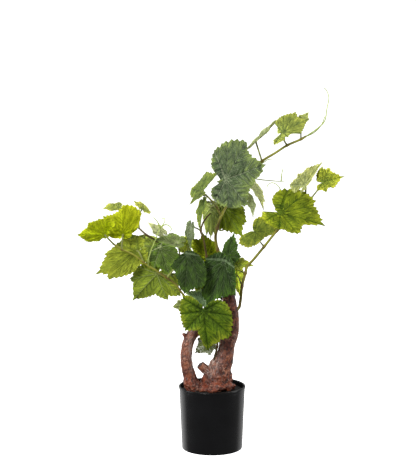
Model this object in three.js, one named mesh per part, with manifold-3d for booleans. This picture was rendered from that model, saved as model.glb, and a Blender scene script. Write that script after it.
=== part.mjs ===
// Artificial grapevine in a plain black pot.
// Millimetres, +Z up, X to the right and -Y towards the viewer.
// The origin is the centre of the pot's underside.
import * as THREE from "three";
import Module from "manifold-3d";

const wasm = await Module();
wasm.setup();

// real sizes
const GAP = 0.3;               // clearance between pieces that only sit together
const POT_HEIGHT = 115;
const POT_RIM_RADIUS = 60;
const POT_BASE_RADIUS = 54.2;
const POT_WALL = 2;
const POT_FLOOR = 2.5;
const POT_RIM_BEAD = 4;
const FILL_TOP = 109;          // the filling ends 6 mm below the rim
const FILL_CROWN_RADIUS = 50;
const PLUG_X = 29;             // half width of the trunk's buried foot
const PLUG_Y = 19;
const PLUG_DEPTH = 30;
const BLADE = 0.8;             // thickness of a leaf blade
const STALK_RADIUS = 1.5;
const TENDRIL_RADIUS = 1;
const TENDRIL_END_RADIUS = 0.7;
const ROUND_SIDES = 34;
const EYE = [-7.4, -2950, 856];  // where the photograph was taken from

// colours seen in the photograph
const COLOURS = {
  pot: "#17181a",
  fill: "#0d0c0b",
  wood: "#7d4a3c",
  stem: "#7c7733",
  stemDark: "#574c2a",
  blue: "#55705c",
  green: "#5f8430",
  lime: "#93a832",
  dark: "#2f5230",
  olive: "#66701f",
};

const vec = (p) => new THREE.Vector3(p[0], p[1], p[2]);

/** Repeatable noise in -1..1 from a whole number. */
function grit(seed) {
  const s = Math.sin(seed * 127.1 + 311.7) * 43758.5453;
  return 2 * (s - Math.floor(s)) - 1;
}

/** A named mesh with a material of its own. */
function mesh(name, positions, triangles, colour, roughness) {
  const geometry = new THREE.BufferGeometry();
  geometry.setAttribute("position", new THREE.Float32BufferAttribute(positions, 3));
  geometry.setIndex(triangles);
  geometry.computeVertexNormals();
  const material = new THREE.MeshStandardMaterial({ color: colour, roughness, metalness: 0 });
  const made = new THREE.Mesh(geometry, material);
  made.name = name;
  return made;
}

/** A closed body for joining and cutting. */
function solid(positions, triangles) {
  return new wasm.Manifold(new wasm.Mesh({
    numProp: 3,
    vertProperties: new Float32Array(positions),
    triVerts: new Uint32Array(triangles),
  }));
}

/** The named mesh of a closed body. */
function meshOf(name, body, colour, roughness) {
  const out = body.getMesh();
  const positions = [];
  for (let i = 0; i < out.numVert; i++) {
    const k = i * out.numProp;
    positions.push(out.vertProperties[k], out.vertProperties[k + 1], out.vertProperties[k + 2]);
  }
  return mesh(name, positions, Array.from(out.triVerts), colour, roughness);
}

/** A smooth line through points; when straightRoot is set its first stretch stays straight. */
function smoothLine(points, steps, straightRoot) {
  const marks = points.map(vec);
  const rest = straightRoot ? marks.slice(1) : marks;
  if (rest.length < 3) return marks;
  const curve = new THREE.CatmullRomCurve3(rest, false, "centripetal");
  const line = curve.getSpacedPoints(steps);
  return straightRoot ? [marks[0], ...line] : line;
}

/** Closed round body along a line of points; radiusAt(i, angle) gives each ring's radius. */
function sweptBody(line, sides, radiusAt) {
  const positions = [];
  const triangles = [];
  const last = line.length - 1;
  let across = null;
  line.forEach((centre, i) => {
    const before = line[Math.max(0, i - 1)];
    const after = line[Math.min(last, i + 1)];
    const along = after.clone().sub(before).normalize();
    if (!across) {
      across = Math.abs(along.z) > 0.9 ? new THREE.Vector3(1, 0, 0) : new THREE.Vector3(0, 0, 1);
    }
    across.addScaledVector(along, -across.dot(along)).normalize();
    const other = along.clone().cross(across);
    for (let j = 0; j < sides; j++) {
      const angle = (2 * Math.PI * j) / sides;
      const radius = radiusAt(i, angle);
      const point = centre.clone()
        .addScaledVector(across, radius * Math.cos(angle))
        .addScaledVector(other, radius * Math.sin(angle));
      positions.push(point.x, point.y, point.z);
    }
  });
  for (let i = 0; i < last; i++) {
    for (let j = 0; j < sides; j++) {
      const k = (j + 1) % sides;
      const a = i * sides + j;
      const b = i * sides + k;
      triangles.push(a, b, b + sides, a, b + sides, a + sides);
    }
  }
  for (let j = 1; j < sides - 1; j++) {
    const top = last * sides;
    triangles.push(0, j + 1, j, top, top + j, top + j + 1);
  }
  return solid(positions, triangles);
}

/** A round rod whose radius runs evenly from first to last. */
function rod(line, first, last, sides) {
  const end = line.length - 1;
  return sweptBody(line, sides, (i) => first + ((last - first) * i) / end);
}

/** A closed body turned about the upright axis from a profile of radius and height. */
function turned(name, profile, colour, roughness) {
  const points = profile.map(([r, z]) => new THREE.Vector2(r, z));
  const lathe = new THREE.LatheGeometry(points, ROUND_SIDES);
  lathe.rotateX(Math.PI / 2);
  const at = lathe.attributes.position;
  const positions = [];
  const index = [];
  // join the seam and the points on the axis
  const ids = new Map();
  for (let i = 0; i < at.count; i++) {
    const key = [at.getX(i), at.getY(i), at.getZ(i)].map((c) => Math.round(c * 1e4)).join(",");
    if (!ids.has(key)) {
      ids.set(key, positions.length / 3);
      positions.push(at.getX(i), at.getY(i), at.getZ(i));
    }
    index.push(ids.get(key));
  }
  const triangles = [];
  const source = lathe.index.array;
  for (let i = 0; i < source.length; i += 3) {
    const [a, b, c] = [index[source[i]], index[source[i + 1]], index[source[i + 2]]];
    if (a !== b && b !== c && a !== c) triangles.push(a, b, c);
  }
  return { name, positions, triangles, colour, roughness };
}

/** Outer radius of the pot's wall at a height. */
function wallRadius(z) {
  const share = z / (POT_HEIGHT - POT_RIM_BEAD);
  return POT_BASE_RADIUS + (POT_RIM_RADIUS - 1 - POT_BASE_RADIUS) * share;
}

/** Plain moulded pot with a thin wall and a small rolled rim. */
function makePot() {
  const neck = POT_HEIGHT - POT_RIM_BEAD;
  const outer = [
    [0, 0], [POT_BASE_RADIUS - 1.5, 0], [POT_BASE_RADIUS, 1.5], [wallRadius(55), 55],
    [wallRadius(neck) - 0.2, neck - 1], [POT_RIM_RADIUS - 0.6, neck], [POT_RIM_RADIUS, neck + 1],
    [POT_RIM_RADIUS, POT_HEIGHT - 1], [POT_RIM_RADIUS - 1, POT_HEIGHT],
  ];
  const inner = [
    [wallRadius(neck) - POT_WALL + 0.6, POT_HEIGHT], [wallRadius(neck) - POT_WALL, neck + 2],
    [wallRadius(POT_FLOOR) - POT_WALL, POT_FLOOR], [0, POT_FLOOR],
  ];
  return turned("pot", [...outer, ...inner], COLOURS.pot, 0.42);
}

/** Slightly crowned filling that rests inside the pot. */
function makeFill() {
  const low = POT_FLOOR + GAP;
  const edge = 106.5;
  const inside = (z) => {
    const share = (z - POT_FLOOR) / (POT_HEIGHT - POT_RIM_BEAD + 2 - POT_FLOOR);
    const bottom = wallRadius(POT_FLOOR) - POT_WALL;
    const top = wallRadius(POT_HEIGHT - POT_RIM_BEAD) - POT_WALL;
    return bottom + (top - bottom) * share - GAP - 0.05;
  };
  const profile = [
    [0, low], [inside(low), low], [inside(edge), edge], [FILL_CROWN_RADIUS, FILL_TOP], [0, FILL_TOP],
  ];
  return turned("potting_fill", profile, COLOURS.fill, 0.95);
}

/** Upright oval peg between two heights, for the trunk's foot and for the hole it stands in. */
function ovalPeg(halfX, halfY, low, high) {
  const sides = 28;
  const positions = [];
  const triangles = [];
  for (const z of [low, high]) {
    for (let j = 0; j < sides; j++) {
      const angle = (2 * Math.PI * j) / sides;
      positions.push(halfX * Math.cos(angle), halfY * Math.sin(angle), z);
    }
  }
  for (let j = 0; j < sides; j++) {
    const k = (j + 1) % sides;
    triangles.push(j, k, k + sides, j, k + sides, j + sides);
  }
  for (let j = 1; j < sides - 1; j++) {
    triangles.push(0, j + 1, j, sides, sides + j, sides + j + 1);
  }
  return solid(positions, triangles);
}

// the trunk's two arms, its cut side branch and a broken stub; each row: x, y, z, radius
const LEFT_ARM = [
  [-26, -5, 104, 17], [-34, -6, 118, 13.5], [-42, -8, 141, 11.2], [-46, -8, 165, 10.6],
  [-44, -6, 188, 10.4], [-37, -2, 207, 10.2], [-25, 2, 221, 10], [-11, 5, 234, 9.6], [-2, 6, 243, 9],
];
const RIGHT_ARM = [
  [3, 0, 104, 33], [6, 0, 118, 29], [10, 0, 134, 24.5], [14, 0, 149, 19], [19, 0, 160, 15.5],
  [22.5, 0, 172, 13.8], [27.5, 0, 196, 15.2], [34, 0, 216, 12.8], [35, 0, 237, 12.6], [33, 0, 258, 12.2],
  [30, 1, 277, 11.6], [26, 2, 294, 10.6],
];
const KNOB = [[2, -6, 132, 10], [-10, -8, 144, 8.6], [-22, -10, 155, 7.4]];
const BROKEN_STUB = [[-41, -4, 198, 5], [-48, -6, 206, 3.8], [-51, -7, 212, 2.6]];
// lumps of bark round the foot
const LUMPS = [
  [12, -19, 117, 11], [28, -13, 116, 10], [34, -2, 113, 8.5], [0, -20, 112, 10], [-14, -12, 112, 11],
  [26, 11, 114, 11], [4, 17, 113, 11], [-20, 8, 111, 10], [31, -8, 128, 7],
];

/** One arm of the trunk: a rod with long ridges and uneven swellings. */
function arm(rows, seed, sides, flatten) {
  const line = smoothLine(rows.map((r) => r.slice(0, 3)), Math.round(rows.length * 1.7), false);
  const last = line.length - 1;
  return sweptBody(line, sides, (i, angle) => {
    const place = (i / last) * (rows.length - 1);
    const low = Math.min(rows.length - 2, Math.floor(place));
    const radius = rows[low][3] + (rows[low + 1][3] - rows[low][3]) * (place - low);
    const broad = 0.06 * Math.sin(3 * angle + seed + i * 0.25);
    const narrow = 0.035 * Math.sin(5 * angle - seed * 2 - i * 0.3);
    const swelling = 0.035 * grit(i * 31 + Math.round(angle * 7) + seed * 97);
    const wide = 1 - flatten(line[i].z) * Math.abs(Math.sin(angle));
    return radius * (1 + broad + narrow + swelling) * wide;
  });
}

/** A rough rounded lump of bark. */
function lump([x, y, z, radius], seed) {
  const ball = new THREE.IcosahedronGeometry(radius, 1);
  const at = ball.attributes.position;
  const ids = new Map();
  const positions = [];
  const triangles = [];
  for (let i = 0; i < at.count; i++) {
    const p = [at.getX(i), at.getY(i), at.getZ(i)];
    const key = p.map((c) => Math.round(c * 1e3)).join(",");
    if (!ids.has(key)) {
      const n = ids.size;
      const grow = 1 + 0.13 * grit(n * 5 + seed * 17);
      ids.set(key, n);
      positions.push(x + p[0] * grow, y + p[1] * grow, z + p[2] * grow * 0.8);
    }
    triangles.push(ids.get(key));
  }
  return solid(positions, triangles);
}

/** Both arms, the stubs and the lumps as one body, with its buried foot and the shoots' holes. */
function makeTrunk(holes) {
  const round = () => 0;
  const broadFoot = (z) => 0.36 * THREE.MathUtils.clamp((170 - z) / 55, 0, 1);
  let body = arm(RIGHT_ARM, 1.3, 12, broadFoot);
  const additions = [
    arm(LEFT_ARM, 4.1, 10, round),
    arm(KNOB, 2.2, 8, round),
    arm(BROKEN_STUB, 5.5, 6, round),
    ...LUMPS.map((row, i) => lump(row, i + 3)),
  ];
  for (const piece of additions) body = body.add(piece);
  // everything ends on the filling, apart from the plain foot that is buried in it
  body = body.subtract(ovalPeg(90, 90, 40, FILL_TOP + GAP));
  body = body.add(ovalPeg(PLUG_X, PLUG_Y, FILL_TOP - PLUG_DEPTH, FILL_TOP + GAP + 6));
  for (const hole of holes) body = body.subtract(hole);
  return body;
}

// Each shoot has a route that starts at the bottom of its hole in the trunk, a radius at both ends,
// side branches and tendrils. The leaf stalks that grow out of it come from the leaf table.
// lean gives the plant its depth: from a point (x, z) onwards, in a direction (x, z), the shoot and
// its leaves come towards the viewer (negative slope) or go away (positive slope).
const SHOOTS = {
  shoot_top: {
    lean: { from: [16, 423], towards: [0.75, 0.66], slope: 0.34 },
    colour: COLOURS.stem,
    radius: [2.9, 2],
    route: [
      [26, 2, 284], [23, 6, 306], [18, 12, 338], [10, 12, 360], [6, 8, 382], [9, 2, 401], [16, -4, 423],
      [28, 2, 444], [49, 12, 473], [71, 14, 501], [88, 10, 519], [111, 6, 534], [132, 2, 548],
      [156, 0, 559], [166, 0, 565],
    ],
    branches: [{ radius: [2, 1.6], route: [[16, -4, 423], [7, -6, 441], [-4, -8, 454], [-11, -8, 461]] }],
    tendrils: [
      [[165, 0, 564], [186, 0, 579], [197, -2, 591], [201, -3, 614], [204, -3, 633], [199, -5, 646],
        [195, -8, 650]],
      [[163, 0, 563], [180, 4, 571], [192, 4, 584], [198, 1, 600]],
      [[63, 13, 491], [77, -2, 489], [96, -6, 487], [122, -12, 486], [130, -12, 487]],
      [[121, -12, 486], [122, -13, 498], [124, -11, 508]],
      [[77, 13, 509], [90, 4, 517], [98, -2, 523], [107, -6, 525]],
    ],
  },
  shoot_inner: {
    lean: { from: [0, 900], towards: [0, 1], slope: 0 },
    colour: COLOURS.stemDark,
    radius: [2, 1.6],
    route: [
      [-5, 6, 238], [-4, 7, 258], [-4, 6, 284], [-6, 4, 316], [-10, 0, 350], [-16, -6, 384], [-20, -8, 397],
      [-16, -10, 412], [-9, -13, 423], [-3, -16, 430],
    ],
    branches: [],
    tendrils: [],
  },
  shoot_left: {
    lean: { from: [-66, 305], towards: [-0.92, 0.39], slope: -0.24 },
    colour: COLOURS.stem,
    radius: [2.7, 1.7],
    route: [
      [-14, 4, 232], [-27, -10, 249], [-39, -14, 269], [-52, -18, 285], [-66, -22, 305], [-82, -24, 317],
      [-98, -26, 329], [-112, -27, 337], [-133, -27, 354], [-146, -30, 362], [-159, -32, 368],
      [-173, -35, 378],
    ],
    branches: [],
    tendrils: [
      [[-112, -27, 337], [-112, -40, 350], [-107, -46, 368], [-100, -48, 386], [-93, -48, 404],
        [-87, -46, 413], [-83, -42, 419], [-84, -37, 424], [-89, -34, 422]],
      [[-90, -47, 409], [-84, -50, 414], [-77, -51, 414], [-71, -53, 408], [-74, -52, 402]],
      [[-91, -48, 408], [-95, -50, 419], [-103, -48, 428]],
    ],
  },
  shoot_left_upper: {
    lean: { from: [-29, 326], towards: [-0.86, 0.51], slope: 0.3 },
    colour: COLOURS.stemDark,
    radius: [2.3, 1.6],
    route: [
      [29, 4, 266], [8, 18, 276], [-10, 26, 300], [-29, 28, 326], [-58, 26, 347], [-84, 22, 364],
      [-104, 18, 378], [-118, 16, 387], [-130, 16, 398],
    ],
    branches: [],
    tendrils: [],
  },
  shoot_right: {
    lean: { from: [62, 333], towards: [0.72, 0.69], slope: -0.3 },
    colour: COLOURS.stem,
    radius: [2.8, 1.9],
    route: [
      [36, 0, 240], [49, -3, 260], [51, -4, 276], [53, -6, 297], [59, -6, 321], [62, -6, 333],
      [72, -6, 344], [92, -8, 369], [115, -8, 398], [138, -4, 420], [161, 2, 440], [175, 6, 453],
    ],
    branches: [],
    tendrils: [
      [[126, -6, 409], [130, 10, 430], [127, 18, 450], [122, 18, 465], [119, 15, 472], [113, 11, 478],
        [106, 8, 481], [99, 7, 478], [97, 7, 473]],
      [[168, 4, 446], [164, 7, 456], [157, 9, 463], [150, 10, 468]],
    ],
  },
  shoot_low: {
    lean: { from: [0, 900], towards: [0, 1], slope: 0 },
    colour: COLOURS.stemDark,
    radius: [2, 1.6],
    route: [[2, -4, 144], [4, -11, 168], [9, -13, 190], [9, -15, 222], [4, -19, 244], [-3, -22, 253]],
    branches: [],
    tendrils: [],
  },
};

// base: where the stalk meets the blade; tip: end of the middle lobe.
// foot: the point of the shoot from which the stalk grows; face: where the upper surface looks to.
// wide, fold, droop and wave shape the blade.
// lobes: reach of the upper, lower and hind lobe on the left, then the same on the right;
// at: their angles from the middle lobe, where they aren't the usual ones;
// edge: instead of lobes, the outline's own points as angle and reach, from right to left.
const LEAVES = [
  {
    name: "crown_leaf_1", shoot: "shoot_top", foot: [28, 2, 444],
    base: [24, -54, 495], tip: [95, -60, 522], face: [0, -1, 0.15],
    wide: 1, fold: 0.1, droop: 0.1, wave: 0.05, colour: "blue",
    at: [41, 66, 92, 72, 103, 137],
    edge: [
      [-170, 0.4], [-150, 0.53], [-120, 0.63], [-90, 0.7], [-70, 0.76], [-58, 0.64], [-42, 0.59],
      [-20, 0.69], [0, 1], [10, 0.87], [22, 0.8], [34, 0.82], [41, 1.01], [64, 0.9], [92, 0.7], [122, 0.44],
      [140, 0.2], [165, 0.12],
    ],
  },
  {
    name: "crown_leaf_2", shoot: "shoot_top", foot: [-11, -8, 461],
    base: [-17, -15, 469], tip: [8, 0, 507], face: [-0.75, -0.5, 0.45],
    wide: 0.6, fold: 0.35, droop: 0.1, wave: 0.05, colour: "green",
    lobes: [1.2, 0.8, 0.88, 0.6, 0.3, 0.2], at: [39, 66, 86, 24, 60, 110],
  },
  {
    name: "crown_leaf_3", shoot: "shoot_top", foot: [-11, -8, 461],
    base: [-20, -44, 468], tip: [-42, -52, 453], face: [0.1, -0.5, 0.9],
    wide: 0.4, fold: 0.15, droop: 0.2, wave: 0.06, colour: "green",
  },
  {
    name: "crown_leaf_4", shoot: "shoot_top", foot: [7, -6, 441],
    base: [-14, -34, 452], tip: [-28, -41, 406], face: [-0.9, -0.45, 0.15],
    wide: 0.5, fold: 0.2, droop: 0.1, wave: 0.05, colour: "green",
    lobes: [0.84, 0.4, 0.2, 0.84, 0.4, 0.2],
  },
  {
    name: "crown_leaf_5", shoot: "shoot_inner", foot: [-20, -8, 397],
    base: [-37, -14, 403], tip: [-42, -9, 361], face: [-0.8, -0.6, 0.1],
    wide: 0.5, fold: 0.2, droop: 0.1, wave: 0.04, colour: "dark",
  },
  {
    name: "crown_leaf_6", shoot: "shoot_top", foot: [7, -6, 441],
    base: [-2, 16, 436], tip: [-2, 26, 378], face: [0.1, 1, 0.2],
    wide: 0.48, fold: 0.1, droop: 0.1, wave: 0.05, colour: "green",
    lobes: [0.96, 0.7, 0.42, 0.94, 0.7, 0.42],
    at: [18, 55, 105, 20, 58, 108],
  },
  {
    name: "crown_leaf_7", shoot: "shoot_top", foot: [28, 2, 444],
    base: [18, 26, 437], tip: [55, 38, 382], face: [-0.1, 1, 0.3],
    wide: 1, fold: 0.1, droop: 0.12, wave: 0.05, colour: "green",
    lobes: [0.75, 0.72, 0.3, 0.88, 0.66, 0.4],
    at: [22, 42, 90, 20, 45, 85],
  },
  {
    name: "crown_leaf_8", shoot: "shoot_top", foot: [88, 10, 519],
    base: [77, 24, 552], tip: [117, 31, 590], face: [-0.6, 0.05, 0.8],
    wide: 0.75, fold: 0.04, droop: -0.06, wave: 0.06, colour: "green",
    lobes: [0.8, 0.6, 0.36, 0.8, 0.6, 0.36],
  },
  {
    name: "crown_leaf_9", shoot: "shoot_top", foot: [132, 2, 548],
    base: [124, -12, 573], tip: [167, -10, 598], face: [-0.35, -0.85, 0.4],
    wide: 0.95, fold: 0.15, droop: 0.1, wave: 0.06, colour: "lime",
    lobes: [1.02, 0.72, 0.3, 0.4, 0.34, 0.62], at: [28, 54, 95, 40, 90, 156],
  },
  {
    name: "crown_leaf_10", shoot: "shoot_top", foot: [156, 0, 559],
    base: [158, 8, 590], tip: [170, 12, 608], face: [-0.3, -0.9, 0.2],
    wide: 0.6, fold: 0.2, droop: 0.1, wave: 0.05, colour: "lime",
  },
  {
    name: "crown_leaf_11", shoot: "shoot_top", foot: [49, 12, 473],
    base: [70, 2, 474], tip: [97, -8, 438], face: [0.75, -0.35, 0.5],
    wide: 0.65, fold: 0.2, droop: 0.1, wave: 0.05, colour: "green",
    lobes: [0.9, 0.9, 0.9, 0.5, 0.4, 0.3], at: [32, 70, 96, 45, 85, 130],
  },
  {
    name: "crown_leaf_12", shoot: "shoot_top", foot: [49, 12, 473],
    base: [66, 12, 450], tip: [76, 10, 417], face: [0.8, -0.6, 0.1],
    wide: 0.5, fold: 0.2, droop: 0.1, wave: 0.04, colour: "green",
  },
  {
    name: "left_leaf_1", shoot: "shoot_left", foot: [-173, -35, 378],
    base: [-188, -36, 395], tip: [-237, -40, 398], face: [-0.05, 0.8, 0.6],
    wide: 1.1, fold: 0.1, droop: 0.05, wave: 0.05, colour: "lime",
    lobes: [0.96, 0.9, 0.8, 0.66, 0.34, 0.2], at: [36, 60, 82, 30, 60, 110],
  },
  {
    name: "left_leaf_2", shoot: "shoot_left", foot: [-159, -32, 368],
    base: [-157, -22, 393], tip: [-142, -16, 443], face: [0, 0.98, 0.2],
    wide: 1.1, fold: 0.08, droop: 0.06, wave: 0.05, colour: "lime",
    at: [20, 46, 100, 16, 60, 105],
    edge: [
      [-150, 0.2], [-128, 0.36], [-106, 0.52], [-81, 0.64], [-61, 0.87], [-49, 0.77], [-35, 0.75],
      [-22, 0.84], [-14, 1.03], [4, 1.04], [20, 1], [27, 0.84], [34, 0.68], [50, 0.51], [64, 0.3],
      [150, 0.15],
    ],
  },
  {
    name: "left_leaf_3", shoot: "shoot_left_upper", foot: [-130, 16, 398],
    base: [-166, 28, 434], tip: [-196, 20, 436], face: [0.2, -0.5, 0.85],
    wide: 1, fold: 0.1, droop: 0.1, wave: 0.05, colour: "lime",
    lobes: [0.5, 0.3, 0.2, 0.52, 0.6, 0.3], at: [45, 88, 130, 45, 80, 115],
  },
  {
    name: "left_leaf_4", shoot: "shoot_left_upper", foot: [-130, 16, 398],
    base: [-124, 16, 434], tip: [-122, 40, 442], face: [0.55, -0.2, 0.75],
    wide: 1.1, fold: 0.08, droop: 0.1, wave: 0.05, colour: "lime",
  },
  {
    name: "left_leaf_5", shoot: "shoot_left", foot: [-122, -27, 345],
    base: [-133, -12, 362], tip: [-208, -14, 319], face: [0.1, 0.97, -0.12],
    wide: 0.72, fold: 0.1, droop: 0.1, wave: 0.05, colour: "lime",
    lobes: [0.78, 0.62, 0.48, 0.93, 0.58, 0.48], at: [32, 58, 110, 20, 50, 90],
  },
  {
    name: "left_leaf_6", shoot: "shoot_left", foot: [-82, -24, 317],
    base: [-98, -6, 320], tip: [-144, -8, 273], face: [0.1, 0.9, 0.3],
    wide: 1, fold: 0.12, droop: 0.1, wave: 0.06, colour: "green",
    lobes: [0.8, 0.6, 0.34, 0.84, 0.96, 0.4], at: [35, 66, 110, 66, 90, 125],
  },
  {
    name: "left_leaf_7", shoot: "shoot_left_upper", foot: [-84, 22, 364],
    base: [-91, 32, 388], tip: [-117, 27, 409], face: [-0.3, -0.8, 0.5],
    wide: 0.45, fold: 0.15, droop: 0.1, wave: 0.05, colour: "lime",
  },
  {
    name: "left_leaf_8", shoot: "shoot_left_upper", foot: [-84, 22, 364],
    base: [-92, -17, 369], tip: [-56, -23, 340], face: [0.2, -0.8, 0.55],
    wide: 0.96, fold: 0.15, droop: 0.1, wave: 0.05, colour: "dark",
    lobes: [0.62, 0.3, 0.2, 1.22, 1.02, 0.4], at: [24, 60, 110, 30, 62, 105],
  },
  {
    name: "left_leaf_9", shoot: "shoot_left_upper", foot: [-58, 26, 347],
    base: [-63, 17, 373], tip: [-107, 11, 383], face: [0.1, -0.6, 0.8],
    wide: 0.6, fold: 0.15, droop: 0.1, wave: 0.06, colour: "dark",
  },
  {
    name: "left_leaf_10", shoot: "shoot_left_upper", foot: [-29, 28, 326],
    base: [-43, 38, 362], tip: [-68, 36, 381], face: [0.1, 0.9, 0.4],
    wide: 1, fold: 0.1, droop: 0.1, wave: 0.05, colour: "olive",
  },
  {
    name: "mid_leaf_1", shoot: "shoot_left", foot: [-80, -24, 316],
    base: [-42, -33, 360], tip: [-49, -52, 293], face: [0, -0.9, 0.45],
    wide: 0.85, fold: 0.08, droop: 0.1, wave: 0.05, colour: "dark",
    at: [33, 60, 85, 36, 58, 100],
    edge: [
      [-150, 0.1], [-100, 0.12], [-78, 0.24], [-60, 0.47], [-54, 0.62], [-40, 0.58], [-25, 0.68],
      [-7, 0.92], [0, 1], [10, 0.93], [28, 0.94], [35, 1], [47, 0.84], [69, 0.56], [83, 0.38], [106, 0.2],
      [150, 0.1],
    ],
  },
  {
    name: "mid_leaf_2", shoot: "shoot_top", foot: [21, 8, 314],
    base: [21, -18, 345], tip: [-8, -38, 265], face: [-0.2, -0.95, 0.25],
    wide: 0.58, fold: 0.08, droop: 0.1, wave: 0.05, colour: "dark",
    at: [30, 52, 80, 30, 58, 82],
    edge: [
      [-150, 0.15], [-120, 0.28], [-96, 0.46], [-84, 0.66], [-70, 0.69], [-50, 0.68], [-33, 0.77],
      [-29, 0.88], [-14, 0.91], [0, 1], [11, 0.83], [27, 0.81], [45, 0.88], [54, 1], [60, 0.8], [70, 0.6],
      [85, 0.42], [105, 0.28], [150, 0.15],
    ],
  },
  {
    name: "mid_leaf_3", shoot: "shoot_top", foot: [10, 12, 360],
    base: [27, -3, 350], tip: [40, -8, 394], face: [0.1, -1, 0],
    wide: 0.66, fold: 0.1, droop: 0.1, wave: 0.05, colour: "dark",
    lobes: [0.64, 0.44, 0.2, 0.76, 0.82, 0.6], at: [38, 70, 140, 34, 80, 104],
  },
  {
    name: "mid_leaf_4", shoot: "shoot_inner", foot: [-10, 0, 350],
    base: [-9, 18, 344], tip: [-16, 24, 391], face: [0.1, 1, 0.1],
    wide: 0.9, fold: 0.1, droop: 0.1, wave: 0.05, colour: "olive",
    lobes: [0.8, 0.55, 0.3, 1, 0.8, 0.3], at: [36, 64, 100, 30, 46, 90],
  },
  {
    name: "mid_leaf_5", shoot: "shoot_right", foot: [59, -6, 321],
    base: [42, 10, 334], tip: [75, 8, 334], face: [0, -0.5, 0.85],
    wide: 0.8, fold: 0.15, droop: 0.1, wave: 0.05, colour: "lime",
  },
  {
    name: "mid_leaf_6", shoot: "shoot_right", foot: [53, -6, 297],
    base: [44, 20, 313], tip: [48, 26, 275], face: [-0.2, 1, 0.2],
    wide: 0.55, fold: 0.1, droop: 0.1, wave: 0.05, colour: "lime",
  },
  {
    name: "mid_leaf_7", shoot: "shoot_low", foot: [-3, -22, 253],
    base: [-15, -42, 259], tip: [-7, -51, 188], face: [0, -0.95, 0.3],
    wide: 0.9, fold: 0.08, droop: 0.1, wave: 0.05, colour: "green",
    at: [46, 76, 112, 54, 90, 126],
    edge: [
      [-160, 0.2], [-142, 0.53], [-132, 0.7], [-103, 0.68], [-80, 0.66], [-52, 0.72], [-44, 0.6],
      [-27, 0.5], [-14, 0.7], [0, 1], [8, 0.88], [30, 0.87], [44, 1], [54, 0.9], [85, 0.76], [102, 0.68],
      [116, 0.56], [130, 0.38], [150, 0.12],
    ],
  },
  {
    name: "mid_leaf_8", shoot: "shoot_low", foot: [9, -13, 190],
    base: [-7, 4, 191], tip: [-32, 8, 172], face: [0.2, 1, 0.1],
    wide: 0.9, fold: 0.1, droop: 0.1, wave: 0.05, colour: "green",
  },
  {
    name: "mid_leaf_9", shoot: "shoot_inner", foot: [-4, 6, 284],
    base: [-13, -20, 275], tip: [-50, -32, 295], face: [-0.1, -0.85, 0.4],
    wide: 0.5, fold: 0.1, droop: 0.2, wave: 0.05, colour: "blue",
  },
  {
    name: "mid_leaf_10", shoot: "shoot_left", foot: [-39, -14, 269],
    base: [-54, -4, 262], tip: [-72, -4, 260], face: [0.2, 0.9, 0.2],
    wide: 0.9, fold: 0.1, droop: 0.1, wave: 0.05, colour: "green",
  },
  {
    name: "mid_leaf_11", shoot: "shoot_inner", foot: [-4, 6, 284],
    base: [-14, 18, 276], tip: [-34, 22, 300], face: [0.2, 0.9, 0.3],
    wide: 0.85, fold: 0.1, droop: 0.1, wave: 0.05, colour: "olive",
  },
  {
    name: "right_leaf_1", shoot: "shoot_right", foot: [115, -8, 398],
    base: [120, -34, 433], tip: [197, -48, 417], face: [-0.05, -0.75, 0.65],
    wide: 0.78, fold: 0.1, droop: 0.08, wave: 0.05, colour: "lime",
    at: [38, 66, 94, 45, 78, 124],
    edge: [
      [-170, 0.42], [-130, 0.47], [-96, 0.54], [-66, 0.57], [-56, 0.67], [-41, 0.76], [-22, 0.6],
      [-11, 0.79], [0, 1], [15, 0.86], [33, 0.81], [41, 0.8], [44, 0.9], [84, 0.89], [99, 0.82],
      [113, 0.66], [131, 0.46], [145, 0.2], [165, 0.15],
    ],
  },
  {
    name: "right_leaf_2", shoot: "shoot_right", foot: [92, -8, 369],
    base: [75, -14, 396], tip: [95, -14, 382], face: [0, -0.9, 0.4],
    wide: 1.15, fold: 0.15, droop: 0.03, wave: 0.03, colour: "green",
    at: [36, 74, 112, 40, 80, 118],
    edge: [
      [-165, 0.2], [-143, 0.52], [-132, 1.05], [-114, 1.36], [-99, 1.29], [-76, 1.13], [-45, 0.9],
      [-20, 0.82], [6, 0.85], [20, 1.15], [36, 1.68], [60, 1.4], [90, 1.12], [108, 1.1], [130, 0.85],
      [150, 0.45], [165, 0.2],
    ],
  },
  {
    name: "right_leaf_3", shoot: "shoot_right", foot: [161, 2, 440],
    base: [163, 2, 478], tip: [191, 6, 520], face: [-0.5, -0.75, 0.35],
    wide: 0.55, fold: 0.7, droop: 0.1, wave: 0.05, colour: "lime",
    lobes: [0.74, 0.68, 0.8, 0.6, 0.5, 0.4], at: [36, 72, 114, 50, 90, 130],
  },
  {
    name: "right_leaf_4", shoot: "shoot_right", foot: [175, 6, 453],
    base: [196, 0, 483], tip: [230, -8, 494], face: [-0.1, -1, 0.2],
    wide: 0.95, fold: 0.12, droop: 0.1, wave: 0.05, colour: "lime",
    lobes: [0.82, 0.8, 0.5, 0.52, 0.54, 0.55], at: [50, 80, 118, 45, 85, 140],
  },
  {
    name: "back_leaf_1", shoot: "shoot_top", foot: [49, 12, 473],
    base: [44, 44, 482], tip: [18, 70, 514], face: [-0.2, 0.9, 0.4],
    wide: 0.95, fold: 0.1, droop: 0.1, wave: 0.05, colour: "blue",
  },
  {
    name: "back_leaf_2", shoot: "shoot_top", foot: [9, 2, 401],
    base: [26, 70, 402], tip: [48, 110, 392], face: [0.2, 0.6, 0.8],
    wide: 0.85, fold: 0.1, droop: 0.1, wave: 0.05, colour: "green",
  },
  {
    name: "back_leaf_3", shoot: "shoot_top", foot: [18, 12, 338],
    base: [26, 46, 322], tip: [36, 80, 272], face: [0.2, 0.85, 0.5],
    wide: 0.8, fold: 0.1, droop: 0.1, wave: 0.05, colour: "dark",
  },
  {
    name: "back_leaf_4", shoot: "shoot_left_upper", foot: [-118, 16, 387],
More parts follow.
